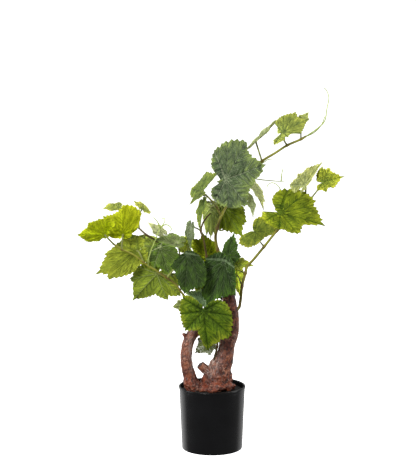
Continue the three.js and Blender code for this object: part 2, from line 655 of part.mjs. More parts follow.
    base: [-138, 46, 372], tip: [-152, 82, 338], face: [-0.2, 0.7, 0.7],
    wide: 0.9, fold: 0.1, droop: 0.1, wave: 0.05, colour: "green",
  },
  {
    name: "back_leaf_5", shoot: "shoot_right", foot: [138, -4, 420],
    base: [142, 30, 424], tip: [172, 68, 418], face: [0.1, 0.5, 0.85],
    wide: 0.85, fold: 0.1, droop: 0.1, wave: 0.05, colour: "lime",
  },
  {
    name: "back_leaf_6", shoot: "shoot_left_upper", foot: [-58, 26, 347],
    base: [-98, 44, 360], tip: [-120, 42, 323], face: [0, 0.95, 0.3],
    wide: 1.15, fold: 0.1, droop: 0.1, wave: 0.05, colour: "green",
  },
  {
    name: "back_leaf_7", shoot: "shoot_left_upper", foot: [-29, 28, 326],
    base: [-24, 60, 318], tip: [-20, 98, 280], face: [-0.1, 0.75, 0.65],
    wide: 0.85, fold: 0.1, droop: 0.1, wave: 0.05, colour: "dark",
  },
];

/** A point of a shoot or of its leaves, moved in depth along the line of sight from the photograph. */
function leant(shoot, [x, y, z]) {
  const { from, towards, slope } = SHOOTS[shoot].lean;
  const out = Math.max(0, (x - from[0]) * towards[0] + (z - from[1]) * towards[1]);
  const depth = y + slope * out;
  const scale = (depth - EYE[1]) / (y - EYE[1]);
  return [EYE[0] + (x - EYE[0]) * scale, depth, EYE[2] + (z - EYE[2]) * scale];
}

/** Directions of a leaf: along its middle lobe, out of its upper face, and sideways. */
function leafFrame(leaf) {
  const base = vec(leant(leaf.shoot, leaf.base));
  const along = vec(leant(leaf.shoot, leaf.tip)).sub(base);
  const length = along.length();
  along.normalize();
  const up = vec(leaf.face);
  up.addScaledVector(along, -up.dot(along)).normalize();
  const side = up.clone().cross(along);
  return { base, along, up, side, length };
}

const DEGREE = Math.PI / 180;
const FINE = { teeth: 12, step: 14, lobesAt: [56, 112, 154, 56, 112, 154] };
const COARSE = { teeth: 8, step: 21, lobesAt: [63, 105, 147, 63, 105, 147] };
const SMALL_LEAF = 47;
const USUAL_LOBES = [0.84, 0.66, 0.42, 0.84, 0.66, 0.42];

/** The middle lobe's value and those of the three lobes on one side of it. */
function oneSide(middle, values, isRight) {
  return [middle, ...(isRight ? values.slice(3) : values.slice(0, 3))];
}

/** Reach of the blade at an angle, between the points of a leaf's own outline. */
function ownReach(edge, degrees) {
  const next = edge.findIndex(([angle]) => angle >= degrees);
  if (next < 1) return edge.at(next)[1];
  const [before, low] = edge[next - 1];
  const [after, high] = edge[next];
  return low + ((high - low) * (degrees - before)) / (after - before);
}

/** Reach of the blade from its stalk, as a share of its length, at an angle from the middle lobe. */
function reach(leaf, lobesAt, degrees, seed) {
  if (leaf.edge) return ownReach(leaf.edge, degrees);
  const isRight = degrees < 0;
  const angles = oneSide(0, lobesAt, isRight);
  let best = 0.2;
  oneSide(1, leaf.lobes ?? USUAL_LOBES, isRight).forEach((size, i) => {
    const uneven = i === 0 ? 1 : 1 + 0.04 * grit(seed + i * 3 + (isRight ? 1 : 0));
    const away = Math.abs(Math.abs(degrees) - angles[i]) / 28;
    if (away < 1.6) best = Math.max(best, size * uneven * (1 - 0.3 * Math.pow(away, 0.6)));
  });
  return best;
}

/** Height of the blade above its own plane: fold along the middle, drooping tip, waves and pleats. */
function lift(leaf, lobesAt, length, u, v, seed) {
  const out = Math.hypot(u, v) / length;
  const degrees = Math.abs(Math.atan2(v, u)) / DEGREE;
  const nearest = Math.min(...oneSide(0, lobesAt, v < 0).map((at) => Math.abs(degrees - at)));
  const pleat = 0.035 * length * out * -Math.cos((Math.PI * Math.min(nearest, 28)) / 28);
  const wave = leaf.wave * length * out * out * Math.sin(3 * degrees * DEGREE + seed + (v < 0 ? 2 : 0));
  return leaf.fold * Math.abs(v) - leaf.droop * length * out * out + pleat + wave;
}

/** One lobed and toothed leaf blade of even thickness. */
function makeLeaf(leaf, seed) {
  const { base, along, up, side, length } = leafFrame(leaf);
  const { teeth, step, lobesAt: usual } = length < SMALL_LEAF ? COARSE : FINE;
  const lobesAt = leaf.at ?? usual;
  const flat = [];
  const put = (degrees, share) => {
    const u = length * share * Math.cos(degrees * DEGREE);
    const v = length * share * Math.sin(degrees * DEGREE) * leaf.wide;
    flat.push([u, v]);
    return flat.length - 1;
  };
  const centre = put(0, 0);
  const notch = put(180, 0.07);
  const outer = [];
  for (let k = -2 * teeth; k <= 2 * teeth; k++) {
    const degrees = (k * step) / 2;
    const isTooth = k % 2 === 0;
    const share = reach(leaf, lobesAt, degrees, seed) * (isTooth ? 1 : 0.91);
    outer.push(put(degrees, share));
  }
  const inner = [];
  for (let k = -teeth; k <= teeth; k += 2) {
    inner.push(put(k * step, reach(leaf, lobesAt, k * step, seed) * 0.55));
  }
  const faces = [];
  for (let i = 0; i < inner.length - 1; i++) {
    faces.push([centre, inner[i], inner[i + 1]]);
    const o = i * 4;
    faces.push([inner[i], outer[o], outer[o + 1]], [inner[i], outer[o + 1], outer[o + 2]]);
    faces.push([inner[i], outer[o + 2], inner[i + 1]]);
    faces.push([inner[i + 1], outer[o + 2], outer[o + 3]], [inner[i + 1], outer[o + 3], outer[o + 4]]);
  }
  const first = inner[0];
  const final = inner[inner.length - 1];
  faces.push([notch, outer[0], first], [notch, first, centre]);
  faces.push([outer[outer.length - 1], notch, final], [final, notch, centre]);

  // middle surface, its normals, then the same triangles on both sides of it
  const points = flat.map(([u, v]) => new THREE.Vector3(u, v, lift(leaf, lobesAt, length, u, v, seed)));
  const normals = points.map(() => new THREE.Vector3());
  for (const [a, b, c] of faces) {
    const normal = points[b].clone().sub(points[a]).cross(points[c].clone().sub(points[a]));
    for (const i of [a, b, c]) normals[i].add(normal);
  }
  const positions = [];
  for (const half of [BLADE / 2, -BLADE / 2]) {
    points.forEach((point, i) => {
      const p = point.clone().addScaledVector(normals[i].clone().normalize(), half);
      const world = base.clone().addScaledVector(along, p.x).addScaledVector(side, p.y);
      world.addScaledVector(up, p.z);
      positions.push(world.x, world.y, world.z);
    });
  }
  const count = points.length;
  const triangles = [];
  for (const [a, b, c] of faces) {
    triangles.push(a, b, c, a + count, c + count, b + count);
  }
  const edge = [...outer, notch];
  edge.forEach((a, i) => {
    const b = edge[(i + 1) % edge.length];
    triangles.push(a, a + count, b + count, a, b + count, b);
  });
  return mesh(leaf.name, positions, triangles, COLOURS[leaf.colour], 0.62);
}

/** The stalk from the shoot to just under the blade, ending a small clearance away from it. */
function makeStalk(leaf) {
  const { base, along, up, length } = leafFrame(leaf);
  const radius = length < SMALL_LEAF ? STALK_RADIUS * 0.85 : STALK_RADIUS;
  const arrive = up.clone().addScaledVector(along, 0.5).normalize();
  const start = vec(leant(leaf.shoot, leaf.foot));
  const lineTo = (clear) => {
    const end = base.clone().addScaledVector(up, -clear);
    const bend = end.clone().addScaledVector(arrive, -0.4 * start.distanceTo(end));
    return new THREE.QuadraticBezierCurve3(start, bend, end).getPoints(3);
  };
  // the slanting end of the stalk keeps clear of the blade, which dips a little beyond its base
  const rough = lineTo(1);
  const tilt = rough[3].clone().sub(rough[2]).angleTo(up);
  const dip = length * 0.005;
  const clear = BLADE / 2 + GAP + radius * Math.sin(tilt) + dip;
  return rod(lineTo(clear), radius * 1.15, radius, 5);
}

/** A shoot with its branches, tendrils and leaf stalks as one body. */
function makeShoot(name) {
  const shoot = SHOOTS[name];
  const [first, last] = shoot.radius;
  const lean = (route) => route.map((point) => leant(name, point));
  const main = smoothLine(lean(shoot.route), shoot.route.length + 2, true);
  let body = rod(main, first, last, 6);
  for (const branch of shoot.branches) {
    const line = smoothLine(lean(branch.route), 6, false);
    body = body.add(rod(line, branch.radius[0], branch.radius[1], 6));
  }
  for (const tendril of shoot.tendrils) {
    const line = smoothLine(lean(tendril), tendril.length + 2, false);
    body = body.add(rod(line, TENDRIL_RADIUS, TENDRIL_END_RADIUS, 4));
  }
  for (const leaf of LEAVES.filter((row) => row.shoot === name)) {
    body = body.add(makeStalk(leaf));
  }
  return body;
}

/** The plain hole in the trunk in which a shoot stands. */
function makeHole(name) {
  const shoot = SHOOTS[name];
  const bottom = vec(shoot.route[0]);
  const mouth = vec(shoot.route[1]);
  const along = mouth.clone().sub(bottom).normalize();
  const line = [bottom.clone().addScaledVector(along, -GAP), mouth.clone().addScaledVector(along, 4)];
  return rod(line, shoot.radius[0] + GAP + 0.1, shoot.radius[0] + GAP + 0.1, 10);
}

// the whole plant
const plant = new THREE.Group();
plant.name = "potted_grapevine";

const pot = makePot();
plant.add(mesh(pot.name, pot.positions, pot.triangles, pot.colour, pot.roughness));

const fill = makeFill();
const fillBody = solid(fill.positions, fill.triangles)
  .subtract(ovalPeg(PLUG_X + GAP, PLUG_Y + GAP, FILL_TOP - PLUG_DEPTH - GAP, FILL_TOP + 20));
plant.add(meshOf(fill.name, fillBody, fill.colour, fill.roughness));

const names = Object.keys(SHOOTS);
plant.add(meshOf("trunk", makeTrunk(names.map(makeHole)), COLOURS.wood, 0.8));
for (const name of names) {
  plant.add(meshOf(name, makeShoot(name), SHOOTS[name].colour, 0.55));
}
LEAVES.forEach((leaf, i) => plant.add(makeLeaf(leaf, i * 1.7 + 0.4)));

export default plant;
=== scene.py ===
"""Looks of the potted grapevine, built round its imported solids.

Lengths below are in millimetres until a mesh is made, which is in metres.
X is to the right, -Y towards the viewer and +Z up; the origin is under the pot's middle.
"""
import math

import bpy
import numpy as np
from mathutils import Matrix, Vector


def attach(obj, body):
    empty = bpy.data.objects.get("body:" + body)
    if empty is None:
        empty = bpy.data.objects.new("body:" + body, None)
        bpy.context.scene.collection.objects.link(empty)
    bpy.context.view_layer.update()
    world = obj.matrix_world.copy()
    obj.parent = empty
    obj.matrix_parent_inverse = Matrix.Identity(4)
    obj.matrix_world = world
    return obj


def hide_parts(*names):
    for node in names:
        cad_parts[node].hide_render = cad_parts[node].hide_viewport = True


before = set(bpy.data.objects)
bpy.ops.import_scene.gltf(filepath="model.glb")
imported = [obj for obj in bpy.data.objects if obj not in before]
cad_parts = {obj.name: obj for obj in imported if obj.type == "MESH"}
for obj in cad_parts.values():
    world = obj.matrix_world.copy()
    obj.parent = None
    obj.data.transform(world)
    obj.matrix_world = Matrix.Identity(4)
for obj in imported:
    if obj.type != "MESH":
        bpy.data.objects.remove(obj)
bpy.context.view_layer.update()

MM = 0.001
GAP = 0.3                          # clearance between pieces that only sit together
POT_HEIGHT = 115
POT_RIM_RADIUS = 60
POT_BASE_RADIUS = 54.2
POT_WALL = 2
POT_FLOOR = 2.5
POT_RIM_BEAD = 4
FILL_TOP = 109                     # height of the filling round the trunk
FILL_EDGE = 106.5                  # and at the pot's wall
FILL_CROWN_RADIUS = 50
TRUNK_VOXEL = 1.15                 # fineness of the skin round the trunk's bodies
ARM_STEP = 2.0                     # from one ring of an arm to the next
BLADE = 0.55                       # thickness of the cloth with its printed coat
STALK_RADIUS = 1.6
TENDRIL_RADIUS = 1.2
SMALL_LEAF = 47                    # blades shorter than this have fewer teeth and thinner stalks
FLOOR_HALF = 90.0                  # metres
EYE = np.array([-7.4, -2950.0, 856.0])
CAMERA_PITCH = 8.8
CAMERA_LENS = 132.4

# angles on a blade, in degrees from its middle lobe
LOBE_ANGLES = (0, 56, 112, 154)
SMALL_LOBE_ANGLES = (63, 105, 147)
MARGIN_END = 168.0                 # where the margin turns into the notch at the stalk

TOOTH_STEPS = (0.0, 0.28, 0.5, 0.72)   # points of a tooth, as shares of its width
TOOTH_CUTS = (0.0, 0.55, 1.0, 0.6)     # how deep the margin is cut there
NOTCH_STEPS = (0.3, 0.65, 1.0)         # points of the notch, as shares of its reach
NOTCH_REACH = 0.07                     # as a share of the blade's length, like the next one
SIDE_VEIN_STEP = 0.118
SIDE_VEIN_SLANT = 0.82                 # how far a side vein runs to the tip for each step outwards

# the trunk's arms and stubs; each row: x, y, z, radius
LEFT_ARM = [
    (-26, -5, 104, 17), (-34, -6, 118, 13.5), (-42, -8, 141, 11.2), (-46, -8, 165, 10.6),
    (-44, -6, 188, 10.4), (-37, -2, 207, 10.2), (-25, 2, 221, 10), (-11, 5, 234, 9.6), (-2, 6, 243, 9),
]
RIGHT_ARM = [
    (3, 0, 104, 33), (6, 0, 118, 29), (10, 0, 134, 24.5), (14, 0, 149, 19), (19, 0, 160, 15.5),
    (22.5, 0, 172, 13.8), (27.5, 0, 196, 15.2), (34, 0, 216, 12.8), (35, 0, 237, 12.6),
    (33, 0, 258, 12.2), (30, 1, 277, 11.6), (26, 2, 294, 10.6),
]
KNOB = [(2, -6, 132, 10), (-10, -8, 144, 8.6), (-22, -10, 155, 7.4)]
BROKEN_STUB = [(-41, -4, 198, 5), (-48, -6, 206, 3.8), (-51, -7, 212, 2.6)]
LUMPS = [
    (12, -19, 117, 11), (28, -13, 116, 10), (34, -2, 113, 8.5), (0, -20, 112, 10), (-14, -12, 112, 11),
    (26, 11, 114, 11), (4, 17, 113, 11), (-20, 8, 111, 10), (31, -8, 128, 7),
]

# lean: from a point (x, z), in a direction (x, z), the shoot and its leaves change depth by a slope
SHOOTS = {
    "shoot_top": {
        "lean": ((16, 423), (0.75, 0.66), 0.34),
        "slot": "shoot_stem",
        "radius": (2.9, 2),
        "route": [
            (26, 2, 284), (23, 6, 306), (18, 12, 338), (10, 12, 360), (6, 8, 382), (9, 2, 401),
            (16, -4, 423), (28, 2, 444), (49, 12, 473), (71, 14, 501), (88, 10, 519), (111, 6, 534),
            (132, 2, 548), (156, 0, 559), (166, 0, 565),
        ],
        "branches": [((2, 1.6), [(16, -4, 423), (7, -6, 441), (-4, -8, 454), (-11, -8, 461)])],
        "tendrils": [
            [(165, 0, 564), (186, 0, 579), (197, -2, 591), (201, -3, 614), (204, -3, 633),
             (199, -5, 646), (195, -8, 650)],
            [(163, 0, 563), (180, 4, 571), (192, 4, 584), (198, 1, 600)],
            [(63, 13, 491), (77, -2, 489), (96, -6, 487), (122, -12, 486), (130, -12, 487)],
            [(121, -12, 486), (122, -13, 498), (124, -11, 508)],
            [(77, 13, 509), (90, 4, 517), (98, -2, 523), (107, -6, 525)],
        ],
    },
    "shoot_inner": {
        "lean": ((0, 900), (0, 1), 0),
        "slot": "shoot_stem_dark",
        "radius": (2, 1.6),
        "route": [
            (-5, 6, 238), (-4, 7, 258), (-4, 6, 284), (-6, 4, 316), (-10, 0, 350), (-16, -6, 384),
            (-20, -8, 397), (-16, -10, 412), (-9, -13, 423), (-3, -16, 430),
        ],
    },
    "shoot_left": {
        "lean": ((-66, 305), (-0.92, 0.39), -0.24),
        "slot": "shoot_stem",
        "radius": (2.2, 1.5),
        "route": [
            (-14, 4, 232), (-27, -10, 249), (-39, -14, 269), (-52, -18, 285), (-66, -22, 305),
            (-82, -24, 317), (-98, -26, 329), (-112, -27, 337), (-133, -27, 354), (-146, -30, 362),
            (-159, -32, 368), (-173, -35, 378),
        ],
        "tendrils": [
            [(-112, -27, 337), (-112, -40, 350), (-107, -46, 368), (-100, -48, 386), (-93, -48, 404),
             (-87, -46, 413), (-83, -42, 419), (-84, -37, 424), (-89, -34, 422)],
            [(-90, -47, 409), (-84, -50, 414), (-77, -51, 414), (-71, -53, 408), (-74, -52, 402)],
            [(-91, -48, 408), (-95, -50, 419), (-103, -48, 428)],
        ],
    },
    "shoot_left_upper": {
        "lean": ((-29, 326), (-0.86, 0.51), 0.3),
        "slot": "shoot_stem_dark",
        "radius": (2.3, 1.6),
        "route": [
            (29, 4, 266), (8, 18, 276), (-10, 26, 300), (-29, 28, 326), (-58, 26, 347), (-84, 22, 364),
            (-104, 18, 378), (-118, 16, 387), (-130, 16, 398),
        ],
    },
    "shoot_right": {
        "lean": ((62, 333), (0.72, 0.69), -0.3),
        "slot": "shoot_stem",
        "radius": (2.8, 1.9),
        "route": [
            (36, 0, 240), (49, -3, 260), (51, -4, 276), (53, -6, 297), (59, -6, 321), (62, -6, 333),
            (72, -6, 344), (92, -8, 369), (115, -8, 398), (138, -4, 420), (161, 2, 440), (175, 6, 453),
        ],
        "tendrils": [
            [(126, -6, 409), (130, 10, 430), (127, 18, 450), (122, 18, 465), (119, 15, 472),
             (113, 11, 478), (106, 8, 481), (99, 7, 478), (97, 7, 473)],
            [(168, 4, 446), (164, 7, 456), (157, 9, 463), (150, 10, 468)],
        ],
    },
    "shoot_low": {
        "lean": ((0, 900), (0, 1), 0),
        "slot": "shoot_stem_dark",
        "radius": (2, 1.6),
        "route": [
            (2, -4, 144), (4, -11, 168), (9, -13, 190), (9, -15, 222), (4, -19, 244), (-3, -22, 253),
        ],
    },
}

# reach of the upper, lower and hind lobe on the left, then the same on the right
USUAL_LOBES = (0.84, 0.66, 0.42, 0.84, 0.66, 0.42)

# name, shoot, foot of the stalk, base and tip of the blade,
# facing of the upper surface, wide, fold, droop, wave, colour,
# then where they aren't the usual ones: lobes, the lobes' angles from the middle one,
# and the outline's own points as angle and reach, which some leaves have instead of lobes
LEAVES = [
    ("crown_leaf_1", "shoot_top", (28, 2, 444), (24, -54, 495), (95, -60, 522),
     (0, -1, 0.15), 1, 0.1, 0.1, 0.05, "blue",
     USUAL_LOBES, (41, 66, 92, 72, 103, 137),
     ((-170, 0.4), (-150, 0.53), (-120, 0.63), (-90, 0.7), (-70, 0.76), (-58, 0.64), (-42, 0.59),
      (-20, 0.69), (0, 1), (10, 0.87), (22, 0.8), (34, 0.82), (41, 1.01), (64, 0.9), (92, 0.7),
      (122, 0.44), (140, 0.2), (165, 0.12))),
    ("crown_leaf_2", "shoot_top", (-11, -8, 461), (-17, -15, 469), (8, 0, 507),
     (-0.75, -0.5, 0.45), 0.6, 0.35, 0.1, 0.05, "green",
     (1.2, 0.8, 0.88, 0.6, 0.3, 0.2), (39, 66, 86, 24, 60, 110)),
    ("crown_leaf_3", "shoot_top", (-11, -8, 461), (-20, -44, 468), (-42, -52, 453),
     (0.1, -0.5, 0.9), 0.4, 0.15, 0.2, 0.06, "green"),
    ("crown_leaf_4", "shoot_top", (7, -6, 441), (-14, -34, 452), (-28, -41, 406),
     (-0.9, -0.45, 0.15), 0.5, 0.2, 0.1, 0.05, "green",
     (0.84, 0.4, 0.2, 0.84, 0.4, 0.2)),
    ("crown_leaf_5", "shoot_inner", (-20, -8, 397), (-37, -14, 403), (-42, -9, 361),
     (-0.8, -0.6, 0.1), 0.5, 0.2, 0.1, 0.04, "dark"),
    ("crown_leaf_6", "shoot_top", (7, -6, 441), (-2, 16, 436), (-2, 26, 378),
     (0.1, 1, 0.2), 0.48, 0.1, 0.1, 0.05, "green",
     (0.96, 0.7, 0.42, 0.94, 0.7, 0.42), (18, 55, 105, 20, 58, 108)),
    ("crown_leaf_7", "shoot_top", (28, 2, 444), (18, 26, 437), (55, 38, 382),
     (-0.1, 1, 0.3), 1, 0.1, 0.12, 0.05, "green",
     (0.75, 0.72, 0.3, 0.88, 0.66, 0.4), (22, 42, 90, 20, 45, 85)),
    ("crown_leaf_8", "shoot_top", (88, 10, 519), (77, 24, 552), (117, 31, 590),
     (-0.6, 0.05, 0.8), 0.75, 0.04, -0.06, 0.06, "green",
     (0.8, 0.6, 0.36, 0.8, 0.6, 0.36)),
    ("crown_leaf_9", "shoot_top", (132, 2, 548), (124, -12, 573), (167, -10, 598),
     (-0.35, -0.85, 0.4), 0.95, 0.15, 0.1, 0.06, "lime",
     (1.02, 0.72, 0.3, 0.4, 0.34, 0.62), (28, 54, 95, 40, 90, 156)),
    ("crown_leaf_10", "shoot_top", (156, 0, 559), (158, 8, 590), (170, 12, 608),
     (-0.3, -0.9, 0.2), 0.6, 0.2, 0.1, 0.05, "lime"),
    ("crown_leaf_11", "shoot_top", (49, 12, 473), (70, 2, 474), (97, -8, 438),
     (0.75, -0.35, 0.5), 0.65, 0.2, 0.1, 0.05, "green",
     (0.9, 0.9, 0.9, 0.5, 0.4, 0.3), (32, 70, 96, 45, 85, 130)),
    ("crown_leaf_12", "shoot_top", (49, 12, 473), (66, 12, 450), (76, 10, 417),
     (0.8, -0.6, 0.1), 0.5, 0.2, 0.1, 0.04, "green"),
    ("left_leaf_1", "shoot_left", (-173, -35, 378), (-188, -36, 395), (-237, -40, 398),
     (-0.05, 0.8, 0.6), 1.1, 0.1, 0.05, 0.05, "lime",
     (0.96, 0.9, 0.8, 0.66, 0.34, 0.2), (36, 60, 82, 30, 60, 110)),
    ("left_leaf_2", "shoot_left", (-159, -32, 368), (-157, -22, 393), (-142, -16, 443),
     (0, 0.98, 0.2), 1.1, 0.08, 0.06, 0.05, "lime",
     USUAL_LOBES, (20, 46, 100, 16, 60, 105),
     ((-150, 0.2), (-128, 0.36), (-106, 0.52), (-81, 0.64), (-61, 0.87), (-49, 0.77), (-35, 0.75),
      (-22, 0.84), (-14, 1.03), (4, 1.04), (20, 1), (27, 0.84), (34, 0.68), (50, 0.51), (64, 0.3),
      (150, 0.15))),
    ("left_leaf_3", "shoot_left_upper", (-130, 16, 398), (-166, 28, 434), (-196, 20, 436),
     (0.2, -0.5, 0.85), 1, 0.1, 0.1, 0.05, "lime",
     (0.5, 0.3, 0.2, 0.52, 0.6, 0.3), (45, 88, 130, 45, 80, 115)),
    ("left_leaf_4", "shoot_left_upper", (-130, 16, 398), (-124, 16, 434), (-122, 40, 442),
     (0.55, -0.2, 0.75), 1.1, 0.08, 0.1, 0.05, "lime"),
    ("left_leaf_5", "shoot_left", (-122, -27, 345), (-133, -12, 362), (-208, -14, 319),
     (0.1, 0.97, -0.12), 0.72, 0.1, 0.1, 0.05, "lime",
     (0.78, 0.62, 0.48, 0.93, 0.58, 0.48), (32, 58, 110, 20, 50, 90)),
    ("left_leaf_6", "shoot_left", (-82, -24, 317), (-98, -6, 320), (-144, -8, 273),
     (0.1, 0.9, 0.3), 1, 0.12, 0.1, 0.06, "green",
     (0.8, 0.6, 0.34, 0.84, 0.96, 0.4), (35, 66, 110, 66, 90, 125)),
    ("left_leaf_7", "shoot_left_upper", (-84, 22, 364), (-91, 32, 388), (-117, 27, 409),
     (-0.3, -0.8, 0.5), 0.45, 0.15, 0.1, 0.05, "lime"),
    ("left_leaf_8", "shoot_left_upper", (-84, 22, 364), (-92, -17, 369), (-56, -23, 340),
     (0.2, -0.8, 0.55), 0.96, 0.15, 0.1, 0.05, "dark",
     (0.62, 0.3, 0.2, 1.22, 1.02, 0.4), (24, 60, 110, 30, 62, 105)),
    ("left_leaf_9", "shoot_left_upper", (-58, 26, 347), (-63, 17, 373), (-107, 11, 383),
     (0.1, -0.6, 0.8), 0.6, 0.15, 0.1, 0.06, "dark"),
    ("left_leaf_10", "shoot_left_upper", (-29, 28, 326), (-43, 38, 362), (-68, 36, 381),
     (0.1, 0.9, 0.4), 1, 0.1, 0.1, 0.05, "olive"),
    ("mid_leaf_1", "shoot_left", (-80, -24, 316), (-42, -33, 360), (-49, -52, 293),
     (0, -0.9, 0.45), 0.85, 0.08, 0.1, 0.05, "dark",
     USUAL_LOBES, (33, 60, 85, 36, 58, 100),
     ((-150, 0.1), (-100, 0.12), (-78, 0.24), (-60, 0.47), (-54, 0.62), (-40, 0.58), (-25, 0.68),
      (-7, 0.92), (0, 1), (10, 0.93), (28, 0.94), (35, 1), (47, 0.84), (69, 0.56), (83, 0.38),
      (106, 0.2), (150, 0.1))),
    ("mid_leaf_2", "shoot_top", (21, 8, 314), (21, -18, 345), (-8, -38, 265),
     (-0.2, -0.95, 0.25), 0.58, 0.08, 0.1, 0.05, "dark",
     USUAL_LOBES, (30, 52, 80, 30, 58, 82),
     ((-150, 0.15), (-120, 0.28), (-96, 0.46), (-84, 0.66), (-70, 0.69), (-50, 0.68), (-33, 0.77),
      (-29, 0.88), (-14, 0.91), (0, 1), (11, 0.83), (27, 0.81), (45, 0.88), (54, 1), (60, 0.8),
      (70, 0.6), (85, 0.42), (105, 0.28), (150, 0.15))),
    ("mid_leaf_3", "shoot_top", (10, 12, 360), (27, -3, 350), (40, -8, 394),
     (0.1, -1, 0), 0.66, 0.1, 0.1, 0.05, "dark",
     (0.64, 0.44, 0.2, 0.76, 0.82, 0.6), (38, 70, 140, 34, 80, 104)),
    ("mid_leaf_4", "shoot_inner", (-10, 0, 350), (-9, 18, 344), (-16, 24, 391),
     (0.1, 1, 0.1), 0.9, 0.1, 0.1, 0.05, "olive",
     (0.8, 0.55, 0.3, 1, 0.8, 0.3), (36, 64, 100, 30, 46, 90)),
    ("mid_leaf_5", "shoot_right", (59, -6, 321), (42, 10, 334), (75, 8, 334),
     (0, -0.5, 0.85), 0.8, 0.15, 0.1, 0.05, "lime"),
    ("mid_leaf_6", "shoot_right", (53, -6, 297), (44, 20, 313), (48, 26, 275),
     (-0.2, 1, 0.2), 0.55, 0.1, 0.1, 0.05, "lime"),
    ("mid_leaf_7", "shoot_low", (-3, -22, 253), (-15, -42, 259), (-7, -51, 188),
     (0, -0.95, 0.3), 0.9, 0.08, 0.1, 0.05, "green",
     USUAL_LOBES, (46, 76, 112, 54, 90, 126),
     ((-160, 0.2), (-142, 0.53), (-132, 0.7), (-103, 0.68), (-80, 0.66), (-52, 0.72), (-44, 0.6),
      (-27, 0.5), (-14, 0.7), (0, 1), (8, 0.88), (30, 0.87), (44, 1), (54, 0.9), (85, 0.76), (102, 0.68),
      (116, 0.56), (130, 0.38), (150, 0.12))),
    ("mid_leaf_8", "shoot_low", (9, -13, 190), (-7, 4, 191), (-32, 8, 172),
     (0.2, 1, 0.1), 0.9, 0.1, 0.1, 0.05, "green"),
    ("mid_leaf_9", "shoot_inner", (-4, 6, 284), (-13, -20, 275), (-50, -32, 295),
     (-0.1, -0.85, 0.4), 0.5, 0.1, 0.2, 0.05, "blue"),
    ("mid_leaf_10", "shoot_left", (-39, -14, 269), (-54, -4, 262), (-72, -4, 260),
     (0.2, 0.9, 0.2), 0.9, 0.1, 0.1, 0.05, "green"),
    ("mid_leaf_11", "shoot_inner", (-4, 6, 284), (-14, 18, 276), (-34, 22, 300),
     (0.2, 0.9, 0.3), 0.85, 0.1, 0.1, 0.05, "olive"),
    ("right_leaf_1", "shoot_right", (115, -8, 398), (120, -34, 433), (197, -48, 417),
     (-0.05, -0.75, 0.65), 0.78, 0.1, 0.08, 0.05, "lime",
     USUAL_LOBES, (38, 66, 94, 45, 78, 124),
     ((-170, 0.42), (-130, 0.47), (-96, 0.54), (-66, 0.57), (-56, 0.67), (-41, 0.76), (-22, 0.6),
      (-11, 0.79), (0, 1), (15, 0.86), (33, 0.81), (41, 0.8), (44, 0.9), (84, 0.89), (99, 0.82),
      (113, 0.66), (131, 0.46), (145, 0.2), (165, 0.15))),
    ("right_leaf_2", "shoot_right", (92, -8, 369), (75, -14, 396), (95, -14, 382),
     (0, -0.9, 0.4), 1.15, 0.15, 0.03, 0.03, "green",
     USUAL_LOBES, (36, 74, 112, 40, 80, 118),
     ((-165, 0.2), (-143, 0.52), (-132, 1.05), (-114, 1.36), (-99, 1.29), (-76, 1.13), (-45, 0.9),
      (-20, 0.82), (6, 0.85), (20, 1.15), (36, 1.68), (60, 1.4), (90, 1.12), (108, 1.1), (130, 0.85),
      (150, 0.45), (165, 0.2))),
    ("right_leaf_3", "shoot_right", (161, 2, 440), (163, 2, 478), (191, 6, 520),
     (-0.5, -0.75, 0.35), 0.55, 0.7, 0.1, 0.05, "lime",
     (0.74, 0.68, 0.8, 0.6, 0.5, 0.4), (36, 72, 114, 50, 90, 130)),
    ("right_leaf_4", "shoot_right", (175, 6, 453), (196, 0, 483), (230, -8, 494),
     (-0.1, -1, 0.2), 0.95, 0.12, 0.1, 0.05, "lime",
     (0.82, 0.8, 0.5, 0.52, 0.54, 0.55), (50, 80, 118, 45, 85, 140)),
    ("back_leaf_1", "shoot_top", (49, 12, 473), (44, 44, 482), (18, 70, 514),
     (-0.2, 0.9, 0.4), 0.95, 0.1, 0.1, 0.05, "blue"),
    ("back_leaf_2", "shoot_top", (9, 2, 401), (26, 70, 402), (48, 110, 392),
     (0.2, 0.6, 0.8), 0.85, 0.1, 0.1, 0.05, "green"),
    ("back_leaf_3", "shoot_top", (18, 12, 338), (26, 46, 322), (36, 80, 272),
     (0.2, 0.85, 0.5), 0.8, 0.1, 0.1, 0.05, "dark"),
    ("back_leaf_4", "shoot_left_upper", (-118, 16, 387), (-138, 46, 372), (-152, 82, 338),
     (-0.2, 0.7, 0.7), 0.9, 0.1, 0.1, 0.05, "green"),
    ("back_leaf_5", "shoot_right", (138, -4, 420), (142, 30, 424), (172, 68, 418),
     (0.1, 0.5, 0.85), 0.85, 0.1, 0.1, 0.05, "lime"),
    ("back_leaf_6", "shoot_left_upper", (-58, 26, 347), (-98, 44, 360), (-120, 42, 323),
     (0, 0.95, 0.3), 1.15, 0.1, 0.1, 0.05, "green"),
    ("back_leaf_7", "shoot_left_upper", (-29, 28, 326), (-24, 60, 318), (-20, 98, 280),
     (-0.1, 0.75, 0.65), 0.85, 0.1, 0.1, 0.05, "dark"),
]

